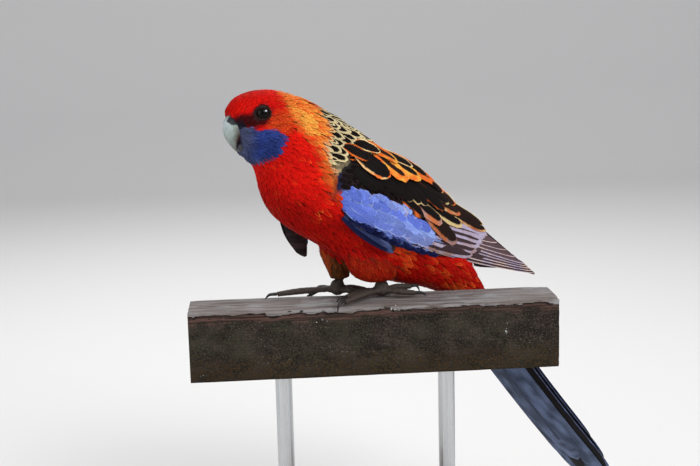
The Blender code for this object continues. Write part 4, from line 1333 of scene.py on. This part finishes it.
class ROSELLA_OT_tail(bpy.types.Operator):
    """Make the long tail feathers, each on its CAD blade's line"""

    bl_idname = "rosella.tail"
    bl_label = "Tail feathers"

    def execute(self, context):
        stations = np.concatenate([np.linspace(0.0, 0.84, 22), np.linspace(0.87, 1.0, 8)])
        tint = tints()
        rows = (*TAIL.values(), SHORT_CENTRAL)
        lines, ups = zip(*(tail_line(offset, share, layer, slope, stations)
                           for offset, _, share, layer, slope, _ in rows))
        looks = [TAIL_LOOKS[row[-1]] for row in rows]
        colours = [np.array([tint[look[k][0]] * look[k][1] for look in looks]) for k in range(3)]
        rims, leans = (np.array([look[k] for look in looks]) for k in (3, 4))
        shape = {"stations": stations, "columns": 12, "tip": 0.86, "base": 0.62, "thick": 0.8,
                 "camber": 0.06, "shaft": 0.35, "ragged": 0.03, "lean": leans}
        spots = np.stack([np.linspace(0.02, 0.06, len(rows)), np.full(len(rows), 0.02)], -1)
        piece = vane_piece("tail_feathers", np.array(lines), np.array(ups),
                           np.array([row[1] for row in rows]), (*colours, rims), spots, shape)
        material = feather_finish("tail_vane", 90.0, 9.0, 0.04, 0.5, 0.10, 0.35)
        finish_piece(piece, material, tuple(TAIL))
        return {"FINISHED"}


# Bill sections from inside the forehead to the hooked tip: culmen x, z; cutting edge x, z;
# half width. The lower mandible's rows run from the chin to its tip.
UPPER_BILL = ((-66.0, 114.0, -62.5, 104.0, 7.0), (-70.6, 115.4, -66.0, 102.6, 7.7),
              (-75.0, 113.8, -68.6, 100.6, 7.0), (-77.7, 110.4, -69.8, 98.8, 6.0),
              (-78.3, 105.4, -70.8, 97.8, 5.0), (-76.8, 100.2, -71.2, 96.8, 3.8),
              (-74.0, 96.2, -71.4, 95.2, 2.4), (-71.2, 93.2, -70.6, 93.4, 0.7))
LOWER_BILL = ((-59.0, 99.4, -57.5, 92.0, 5.2), (-63.8, 100.6, -61.6, 91.0, 5.0),
              (-68.0, 100.8, -65.0, 91.0, 4.7), (-70.4, 98.8, -67.8, 91.4, 4.0),
              (-71.6, 96.6, -69.6, 92.2, 2.6))
NOSTRIL = (-73.6, 3.6, 111.6)
BILL_VOXEL = 0.26
LOWER_HORN = (0.030, 0.030, 0.042)


def oval_loft(rows):
    """A closed surface through oval sections, with rows added smoothly between them."""
    rows = between(rows, np.linspace(0, len(rows) - 1, 41))
    blur = np.array((0.25, 0.5, 0.25))
    for _ in range(4):
        rows[1:-1] = sum(rows[k:len(rows) - 2 + k] * blur[k] for k in range(3))
    turns = 40
    angle = 2 * np.pi * np.arange(turns) / turns
    top = rows[:, None, :2]
    low = rows[:, None, 2:4]
    up = np.sign(np.cos(angle)) * np.abs(np.cos(angle)) ** 0.92
    out = np.sign(np.sin(angle)) * np.abs(np.sin(angle)) ** 0.92
    flat = (top + low) / 2 + (top - low) / 2 * up[None, :, None]
    points = np.stack([flat[..., 0], rows[:, None, 4] * out[None, :], flat[..., 1]], -1)
    ends = [points[0].mean(0), points[-1].mean(0)]
    points = np.concatenate([points.reshape(-1, 3), ends])
    grid = wound(len(rows), turns)
    around = quads(grid)
    hubs = np.full((2, turns), [[len(points) - 2], [len(points) - 1]])
    return points, np.concatenate([
        around[:, :3], around[:, [0, 2, 3]], np.stack([grid[0, 1:], grid[0, :-1], hubs[0]], -1),
        np.stack([grid[-1, :-1], grid[-1, 1:], hubs[1]], -1)])


@cache
def bill_surface():
    """The upper bill with the soft swelling of its cere: its points, faces and triangles."""
    points, faces = oval_loft(UPPER_BILL)
    for sign in SIGN.values():
        points, faces = with_ball(points, faces, (-73.2, sign * 3.4, 110.6), (2.5, 2.3, 1.7))
    return remeshed(points, faces, BILL_VOXEL, 0.0, 5)


class ROSELLA_OT_bill(bpy.types.Operator):
    """Make the hooked bill with its dark cere, nostrils and worn horn"""

    bl_idname = "rosella.bill"
    bl_label = "Bill"

    def execute(self, context):
        lower = remeshed(*oval_loft(LOWER_BILL), BILL_VOXEL, 0.0, 4)
        for node, (vertices, faces, triangles) in (("bill_upper", bill_surface()),
                                                   ("bill_lower", lower)):
            upper = node == "bill_upper"
            hole = np.linalg.norm(np.abs(vertices) - np.abs(NOSTRIL), axis=1)
            hole = rise(0.95 - hole * 0.7, 0.0, 0.6) * upper
            grooves = cloud(vertices, 0.8, 3) * 0.05 + cloud(vertices, 2.5, 4) * 0.12
            inward = vertex_normals(vertices, triangles) * (0.7 * hole + grooves)[:, None]
            piece = make_object(node.replace("bill_", "bill_horn_"),
                                to_world(vertices - inward), faces)
            set_colours(piece.data, "plumage",
                        self.colours(vertices, hole) if upper else LOWER_HORN)
            finish_piece(piece, horn_finish(), (node,))
        return {"FINISHED"}

    def colours(self, vertices, hole):
        """Pale horn with a painted highlight high on its front and painted shade toward the gape and
        the tip, under a dark cere.
        """
        x, y, z = vertices.T
        gape = x - np.interp(z, (93.0, 96.1, 100.3, 103.8, 107.9),
                             (-69.6, -71.6, -72.9, -72.4, -70.9))
        # Painted shade: the horn darkens toward the gape and toward the lower bill and tip.
        shaded = np.maximum(rise(gape, -4.2, 0.4), 0.9 * rise(103.0 - z, 0.0, 9.0))
        colour = over(tints()["horn"], (0.095, 0.098, 0.088), shaded)
        # Painted highlight: a pale streak high on the front of the culmen.
        painted_highlight = rise(-75.0 - x, 0.0, 2.5) * rise(z, 101.0, 109.0) * 0.7
        colour = over(colour, (0.42, 0.49, 0.51), painted_highlight)
        colour = colour * (0.78 + 0.4 * cloud(vertices, 1.4, 5))[:, None]
        cere = z - np.interp(x, (-78.0, -75.6, -71.0), (111.6, 108.8, 108.6))
        cere = rise(cere + cloud(vertices, 1.0, 6) * 0.5, -0.2, 0.5)
        cere = cere * rise(np.abs(y), 1.0, 2.2) * rise(x, -78.6, -76.6)
        colour = over(colour, (0.005, 0.006, 0.011), cere * 0.97)
        # Painted shade: the nostril is near black inside, and a dark red-brown line runs along the
        # gape.
        colour = over(colour, (0.004, 0.004, 0.005), hole)
        return over(colour, (0.040, 0.012, 0.011),
                    rise(gape, -0.5, 0.6) * rise(105.0 - z, 0.0, 3.0) * 0.92)


class ROSELLA_OT_eyes(bpy.types.Operator):
    """Set the dark glossy eyes in rings of bare grey skin"""

    bl_idname = "rosella.eyes"
    bl_label = "Eyes"

    def execute(self, context):
        for side in SIDES:
            self.eyeball(side)
            self.lids(side)
        return {"FINISHED"}

    def axes(self, side):
        """The eye's middle, its outward axis, and across and up."""
        centre = mirrored(EYE, side)
        out = unit(mirrored(EYE_AXIS, side))
        across = unit(np.cross(out, (0.0, 0.0, 1.0)))
        return centre, out, across, unit(np.cross(across, out))

    def eyeball(self, side):
        """A ball with a slight cornea, a black pupil, a dark brown iris and a painted glint."""
        centre, out, across, up = self.axes(side)
        rings, turns = 28, 48
        polar = np.repeat(np.pi * np.arange(rings + 1) / rings, turns)[:, None]
        angle = np.tile(2 * np.pi * np.arange(turns) / turns, rings + 1)[:, None]
        bulge = 1.0 + 0.035 * np.exp(-(polar / 0.55) ** 2)
        ray = (out * np.cos(polar)
               + (across * np.cos(angle) + up * np.sin(angle)) * np.sin(polar))
        points = centre + ray * (EYE_RADIUS - 0.05) * bulge
        piece = make_object(f"eyeball_{side}", to_world(points), quads(wound(rings + 1, turns)))
        with edited(piece.data) as bm:
            bmesh.ops.remove_doubles(bm, verts=bm.verts, dist=1e-7)
            bmesh.ops.recalc_face_normals(bm, faces=bm.faces)
        away = to_bird(mesh_arrays(piece.data)[0]) - centre
        polar = np.arccos(np.clip((unit(away) * out).sum(-1), -1.0, 1.0))
        angle = np.arctan2((away * up).sum(-1), (away * across).sum(-1))
        brown = np.outer(0.6 + 0.5 * np.sin(angle * 17.0), (0.010, 0.004, 0.003))
        brown = brown * (rise(polar, 0.46, 0.52) * (1 - 0.8 * rise(polar, 0.76, 0.9)))[:, None]
        # Painted glint: a pale spot on the eye above its middle stands in for a lamp's reflection.
        painted_glint = unit(mirrored((0.12, 0.93, 0.35), side))
        painted_glint = rise((unit(away) * painted_glint).sum(-1), math.cos(0.15), math.cos(0.08))
        set_colours(piece.data, "plumage", over(brown + 0.0008, (0.72, 0.76, 0.80), painted_glint))
        finish_piece(piece, eye_finish(), (f"eye_{side}",))

    def lids(self, side):
        """A closed ring of wrinkled bare skin round the eye's opening."""
        centre, out, across, up = self.axes(side)
        surface = coat()["tree"]
        turns = 72
        profile = np.linspace(0.0, 1.0, 10)
        crown = 0.55 * np.sin(np.pi * np.minimum(1.0, profile * 1.25)) * (1 - 0.5 * profile)
        points = []
        for angle in 2 * np.pi * np.arange(turns) / turns:
            slant = abs(math.sin(angle - SIGN[side] * 0.12))
            wrinkle = 0.05 * math.sin(angle * 23.0) + 0.04 * math.sin(angle * 41.0 + 1.0)
            inner = 3.75 - 0.85 * slant ** 1.3
            outer = 5.0 - 0.4 * slant
            ray = across * math.cos(angle) + up * math.sin(angle)
            hit = surface.ray_cast(Vector(centre + ray * outer + out * 12.0), Vector(-out))
            rim = float((np.array(hit[0]) - centre) @ out) if hit[0] else 2.0
            rim = min(max(rim, 0.5), 3.6) - 0.35
            height = math.sqrt((EYE_RADIUS * 1.01) ** 2 - inner ** 2) + 0.05
            height = height + (rim - height) * profile
            reach = inner + (outer - inner) * profile
            lid = height + crown + wrinkle * np.sin(np.pi * profile) * 2.0
            reach = np.concatenate([reach, reach[-2:0:-1]])[:, None]
            points.append(centre + ray * reach
                          + out * np.concatenate([lid, height[-2:0:-1] - 0.8])[:, None])
        faces = quads(wound(turns, len(points[0]), closed=True))
        piece = make_object(f"eye_ring_{side}", to_world(np.concatenate(points)), faces)
        with edited(piece.data) as bm:
            bmesh.ops.recalc_face_normals(bm, faces=bm.faces)
        finish_piece(piece, grained_finish("eye_ring_skin", 0.6, 0.08, 1800.0,
                                           (0.004, 0.002, 0.002), (0.036, 0.016, 0.013),
                                           (0.5, 0.0002)))


class ROSELLA_OT_feet(bpy.types.Operator):
    """Make each scaly foot as one skin from shank to toe tips, and its four claws"""

    bl_idname = "rosella.feet"
    bl_label = "Feet and claws"

    def execute(self, context):
        for side in SIDES:
            nodes = (f"shank_{side}", f"foot_{side}", *(f"toe_{side}_{toe}" for toe in TOES))
            points, bones, owner = node_solid(nodes, FOOT_GROWTH)
            parts = [points[np.unique(bones[owner == k])] for k in range(len(nodes))]
            palm = parts[1].mean(axis=0)
            points, solid = with_ball(points, bones, palm + (0.0, 0.0, 2.6), (4.6, 4.6, 3.6))
            for toe in parts[2:]:
                reach = np.linalg.norm(toe - palm, axis=1)
                start = toe[reach < reach.min() + 1.5].mean(axis=0)
                for share, girth in ((0.35, 3.9), (0.8, 3.3), (1.6, 2.8)):
                    points, solid = with_ball(points, solid, palm + (start - palm) * share,
                                              (girth, girth, girth * 0.8))
            vertices, faces, triangles = remeshed(points, solid, FOOT_VOXEL, FOOT_GROWTH, 9)
            scutes = cloud(vertices, 2.2, 11) * 3.0 + vertices @ np.array((1.9, 0.7, 1.4))
            scutes = np.abs(np.sin(scutes))
            pebble = cloud(vertices, 0.8, 12)
            relief = -0.16 * (1 - scutes) ** 3 + 0.10 * (pebble - 0.5)
            moved = vertices + vertex_normals(vertices, triangles) * relief[:, None]
            piece = make_object(f"scaly_foot_{side}", to_world(moved), faces)
            tone = (0.75 + 0.5 * pebble) * (0.6 + 0.5 * scutes)
            set_colours(piece.data, "plumage", tints()["foot"] * tone[:, None])
            finish_piece(piece, scale_finish(), nodes)
            self.claws(side, tuple(f"claw_{side}_{toe}" for toe in TOES))
        return {"FINISHED"}

    def claws(self, side, nodes):
        """Curved dark claws, finer than their CAD nodes."""
        vertices, triangles, owner = node_solid(nodes)
        toes, toe_triangles, toe_owner = node_solid([name.replace("claw", "toe")
                                                     for name in nodes])
        for k in range(len(nodes)):
            mine = np.unique(triangles[owner == k])
            claw = vertices[mine]
            toe = toes[np.unique(toe_triangles[toe_owner == k])]
            gap = np.linalg.norm(claw[:, None] - toe[None], axis=-1).min(axis=1)
            base = claw[gap < gap.min() + 0.6].mean(axis=0)
            push = unit((base - claw.mean(axis=0))[None])[0]
            near = np.exp(-((claw - base) ** 2).sum(-1) / 2.5)
            vertices[mine] = claw + push * (1.3 * near)[:, None]
        piece = make_object(f"claws_{side}", to_world(vertices), triangles)
        piece.modifiers.new("rounder", "SUBSURF").levels = 2
        piece.data = applied(piece)
        piece.modifiers.clear()
        finish_piece(piece, grained_finish("claw_horn", 0.4, 0.3, 900.0, (0.006, 0.005, 0.005),
                                           (0.028, 0.024, 0.022), (0.3, 0.0001)), nodes)


class ROSELLA_OT_perch(bpy.types.Operator):
    """Weather the rail: cracks along its top, a splintered near edge and rough cut ends"""

    bl_idname = "rosella.perch"
    bl_label = "Perch"

    def execute(self, context):
        low, high = (np.array(corner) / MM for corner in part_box("perch_rail"))
        middle, half = (low + high)[1:] / 2, (high - low)[1:] / 2
        section = self.section(low[1:], high[1:], middle, half)
        n = len(section)
        grid_x = np.linspace(low[0], high[0], RAIL_STEPS + 1)
        points = np.column_stack([np.repeat(grid_x, n), np.tile(section, (len(grid_x), 1))])
        points = points + self.wear(context, points, low, high, middle, half)
        whole = wound(len(grid_x), n)
        shells, faces = [points], list(quads(whole)[:, [0, 3, 2, 1]])
        for rim, order in ((whole[0], 1), (whole[-1], -1)):
            first = sum(len(shell) for shell in shells)
            centre = np.array((points[rim[0], 0], *middle))
            spokes = points[rim[:-1]] - centre
            shells += [centre + spokes * share for share in RAIL_END_RINGS] + [centre[None]]
            grid = np.concatenate([rim[None], wound(len(RAIL_END_RINGS), n) + first])
            hub = np.full(n, first + len(RAIL_END_RINGS) * n)
            faces += list(quads(grid)[:, ::order])
            faces += list(np.column_stack([grid[-1, :-1], grid[-1, 1:], hub])[:, ::order])
        points = np.concatenate(shells)
        rail = make_object("weathered_rail", points * MM, faces)
        heights = np.concatenate([np.tile(section[:, 1], len(grid_x)), points[whole.max() + 1:, 2]])
        set_colours(rail.data, "plumage", np.repeat((high[2] - heights)[:, None], 3, 1) / 50.0)
        finish_piece(rail, self.timber(context), ("perch_rail",))
        return {"FINISHED"}

    def section(self, low, high, middle, half):
        """The rail's outline across it, with its corners rounded."""
        corners = np.array(((0, 0), (1, 0), (1, 1), (0, 1)))
        ring = np.concatenate([a + (b - a) * (np.arange(count) / count)[:, None]
                               for a, b, count in zip(corners, np.roll(corners, -1, 0),
                                                      (44, 52, 44, 52))])
        size = high - low
        section = np.stack([low[0] + size[0] * ring[:, 0], high[1] - size[1] * ring[:, 1]], -1)
        past = np.clip(np.abs(section - middle) - (half - RAIL_CORNER), 0, None)
        away = np.maximum(np.hypot(*past.T), 1e-6)[:, None]
        pull = np.where((past > 0).all(axis=1)[:, None], np.maximum(away - RAIL_CORNER, 0) / away,
                        0.0)
        return section - np.sign(section - middle) * past * pull

    def wear(self, context, points, low, high, middle, half):
        """How far cracks, grain and chips move places in from the sawn surface."""
        top = np.clip((points[:, 2] - (high[2] - 2.0)) / 2.0, 0.0, 1.0)
        inward = np.zeros_like(points)
        aside = middle - points[:, 1:]
        inward[:, 1:] = aside * (np.abs(aside) > half - 2.5)
        crack = np.abs(cloud(points * (0.06, 1.0, 1.0), 2.6, 21) - 0.5)
        crack = np.clip(1.0 - crack * 9.0, 0.0, 1.0)
        crack = crack * rise(cloud(points * (0.12, 0.5, 0.5), 4.0, 22), 0.4, 0.65)
        grain = cloud(points * (0.10, 1.0, 1.0), 1.1, 23)
        chips = rise(cloud(points * (0.35, 1.0, 1.0), 4.0, 24), 0.5, 0.8)
        edge = rise(points[:, 1], low[1] + 5.0, low[1]) * rise(points[:, 2], high[2] - 6.0, high[2])
        depth = context.scene.rosella_sizes.rail_wear
        dig = depth * (1.3 * crack * (0.5 + 0.5 * top) + 0.28 * grain) + 1.5 * edge * chips
        return unit(inward) * dig[:, None]

    def timber(self, context):
        """Grey top, sun-bleached and also painted lighter as light from above, dark mottled sides
        with painted shade toward the bottom, a splintered reddish edge, droppings.
        """
        pale = tuple(context.scene.rosella_colours.timber)
        look = Finish("weathered_timber", 0.9, 0.12)
        height = look.times(look.painted()[0], -0.05)
        grain = look.noise(430.0, 6.0, (0.05, 1.0, 1.0))
        streak = look.noise(900.0, 4.0, (0.03, 1.0, 1.0))
        blotch = look.noise(45.0, 5.0)
        patch = look.noise(110.0, 5.0, (0.7, 1.0, 1.0))
        fine = look.noise(700.0, 4.0)
        speck = look.noise(1300.0, 2.0)
        # light is the rail's grey top: weathered wood, painted lighter as light from above.
        light = look.coats((0.13, 0.105, 0.092), (grain, 0.34, 0.62, 1.0, pale),
                           (streak, 0.54, 0.66, 0.7, (0.055, 0.040, 0.034)),
                           (blotch, 0.50, 0.66, 0.5, (0.30, 0.31, 0.31)))
        dark = look.coats((0.012, 0.009, 0.007), (patch, 0.38, 0.62, 1.0, (0.040, 0.029, 0.023)),
                          (fine, 0.40, 0.60, 0.8, (0.009, 0.007, 0.006)),
                          (speck, 0.52, 0.66, 0.6, (0.085, 0.066, 0.052)))
        moss = look.times(look.spread(blotch, 0.42, 0.64), look.spread(fine, 0.42, 0.60, 0.0, 0.6))
        dark = look.blend(moss, dark, (0.038, 0.040, 0.022))
        # low grows toward the rail's bottom, where rust stains gather and the sides darken as
        # painted shade.
        low = look.spread(height, -0.022, -0.042)
        rust = look.times(low, look.spread(fine, 0.44, 0.60, 0.0, 0.7))
        dark = look.blend(rust, dark, (0.085, 0.040, 0.015))
        dark = look.blend(look.times(low, 0.55), dark, (0.009, 0.009, 0.004))
        dark = look.coats(dark, (speck, 0.70, 0.76, 0.7, (0.22, 0.21, 0.19)))
        ragged = look.add(height, look.spread(patch, 0.35, 0.65, 0.0002, 0.0030))
        ragged = look.add(ragged, look.spread(streak, 0.35, 0.65, 0.0, 0.0012))
        strip = look.coats((0.030, 0.016, 0.013), (streak, 0.40, 0.60, 1.0, (0.105, 0.055, 0.045)))
        colour = look.coats(dark, (ragged, -0.0060, -0.0020, 0.7, strip),
                            (ragged, -0.0012, -0.0006, 1.0, (0.008, 0.006, 0.005)),
                            (ragged, -0.0003, 0.0002, 1.0, light))
        drips = look.times(look.spread(look.noise(420.0), 0.60, 0.66),
                           look.spread(look.noise(60.0, 1.0), 0.66, 0.72))
        colour = look.blend(drips, colour, (0.50, 0.52, 0.52))
        relief = look.add(look.add(look.times(streak, 0.7), fine), patch)
        return look.done(colour, relief, 0.7, 0.0011)


class ROSELLA_OT_stand(bpy.types.Operator):
    """Finish the display stand: a dark oiled wood base and brushed steel rods"""

    bl_idname = "rosella.stand"
    bl_label = "Stand"

    def execute(self, context):
        wood = Finish("stand_oiled_wood", 0.45, 0.4, **{"Coat Weight": 0.1})
        rings = wood.noise(60.0, 5.0, (0.12, 1.0, 1.0))
        pores = wood.noise(900.0, 2.0, (0.05, 1.0, 1.0))
        colour = wood.coats((0.035, 0.017, 0.010), (rings, 0.3, 0.7, 1.0, (0.11, 0.055, 0.028)),
                            (pores, 0.55, 0.7, 0.6, (0.02, 0.010, 0.006)))
        wood = wood.done(colour, pores, 0.25, 0.0002)
        steel = Finish("stand_brushed_steel", 0.32, Metallic=1.0)
        lines = steel.noise(1200.0, 2.0, (1.0, 1.0, 0.03))
        steel.feed(steel.shader["Roughness"], steel.spread(lines, 0.3, 0.7, 0.24, 0.42))
        colour = steel.blend(lines, (0.42, 0.43, 0.44), (0.66, 0.67, 0.68))
        steel = steel.done(colour, lines, 0.15, 0.0001)
        for name, material in (("base", wood), ("rod_1", steel), ("rod_2", steel)):
            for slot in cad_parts[f"stand_{name}"].material_slots:
                slot.material = material
        return {"FINISHED"}


class ROSELLA_OT_stage(bpy.types.Operator):
    """Set the pale floor, the soft lamps and the camera"""

    bl_idname = "rosella.stage"
    bl_label = "Stage"

    def execute(self, context):
        settings = context.scene.rosella_stage
        context.scene.view_settings.view_transform = "Standard"
        angles = np.linspace(0.0, math.pi / 2, 25)
        sweep = [(-4.0, 0.0), *((1.6 + 0.8 * math.sin(angle), 0.8 - 0.8 * math.cos(angle))
                                for angle in angles), (2.4, 4.0)]
        points = [(x, *place) for x in (-5.0, 5.0) for place in sweep]
        n = len(sweep)
        floor = make_object("floor", points, [(k, n + k, n + k + 1, k + 1) for k in range(n - 1)])
        paper = Finish("studio_paper", 0.8, 0.2)
        floor.data.materials.append(paper.done((0.72, 0.71, 0.70), paper.noise(900.0), 0.05, 0.0002))
        for k, (spot, size, power) in enumerate(LAMPS[:settings.lamps], start=1):
            data = bpy.data.lights.new(f"softbox_{k}", "AREA")
            data.size = size
            data.energy = power * settings.light
            lamp = bpy.data.objects.new(f"softbox_{k}", data)
            lamp.location = spot
            toward = Vector(LAMP_AIM) - Vector(spot)
            lamp.rotation_euler = toward.to_track_quat("-Z", "Y").to_euler()
            context.scene.collection.objects.link(lamp)
        world = bpy.data.worlds.new("studio")
        world.use_nodes = True
        background = world.node_tree.nodes["Background"]
        background.inputs[0].default_value = (0.86, 0.88, 0.92, 1.0)
        background.inputs[1].default_value = 0.60
        context.scene.world = world
        self.camera(context, settings)
        return {"FINISHED"}

    def camera(self, context, settings):
        """A camera that looks down a little on the bird's left side."""
        turn, lift, roll = settings.azimuth, settings.elevation, settings.roll
        back = Vector((math.sin(turn) * math.cos(lift), -math.cos(turn) * math.cos(lift),
                       math.sin(lift)))
        spot = Vector(AIM) + back * settings.distance
        side = (-back).cross(Vector((0.0, 0.0, 1.0))).normalized()
        up = side.cross(-back)
        right = side * math.cos(roll) - up * math.sin(roll)
        top = up * math.cos(roll) + side * math.sin(roll)
        data = bpy.data.cameras.new("camera")
        data.lens = settings.lens
        data.sensor_width = SENSOR_WIDTH
        data.sensor_fit = "HORIZONTAL"
        data.clip_start = 0.01
        camera = bpy.data.objects.new("camera", data)
        matrix = Matrix((right, top, back)).transposed().to_4x4()
        matrix.translation = spot
        camera.matrix_world = matrix
        context.scene.collection.objects.link(camera)
        context.scene.camera = camera


class ROSELLA_PT_panel(bpy.types.Panel):
    """The rosella's pieces, in the order in which they are made"""

    bl_idname = "ROSELLA_PT_panel"
    bl_label = "Rosella"
    bl_space_type = "VIEW_3D"
    bl_region_type = "UI"
    bl_category = "Rosella"

    def draw(self, context):
        layout = self.layout
        for operator in OPERATORS:
            layout.operator(operator.bl_idname)
        for group in SETTINGS:
            box = layout.box()
            settings = getattr(context.scene, group)
            for key in settings.__class__.__annotations__:
                box.prop(settings, key)


OPERATORS = (ROSELLA_OT_skin, ROSELLA_OT_coat, ROSELLA_OT_wings, ROSELLA_OT_tail,
             ROSELLA_OT_bill, ROSELLA_OT_eyes, ROSELLA_OT_feet, ROSELLA_OT_perch,
             ROSELLA_OT_stand, ROSELLA_OT_stage)
SETTINGS = {"rosella_colours": RosellaColours, "rosella_sizes": RosellaSizes,
            "rosella_stage": RosellaStage}
CLASSES = (*SETTINGS.values(), *OPERATORS, ROSELLA_PT_panel)


def register():
    """Add the classes and their settings."""
    for item in CLASSES:
        bpy.utils.register_class(item)
    for name, group in SETTINGS.items():
        setattr(bpy.types.Scene, name, PointerProperty(type=group))


def unregister():
    """Take the classes and their settings away."""
    for name in SETTINGS:
        delattr(bpy.types.Scene, name)
    for item in reversed(CLASSES):
        bpy.utils.unregister_class(item)


def main():
    """Build every piece in order."""
    register()
    bpy.ops.rosella.skin()
    bpy.ops.rosella.coat()
    bpy.ops.rosella.wings()
    bpy.ops.rosella.tail()
    bpy.ops.rosella.bill()
    bpy.ops.rosella.eyes()
    bpy.ops.rosella.feet()
    bpy.ops.rosella.perch()
    bpy.ops.rosella.stand()
    bpy.ops.rosella.stage()


if __name__ == "__main__":
    main()
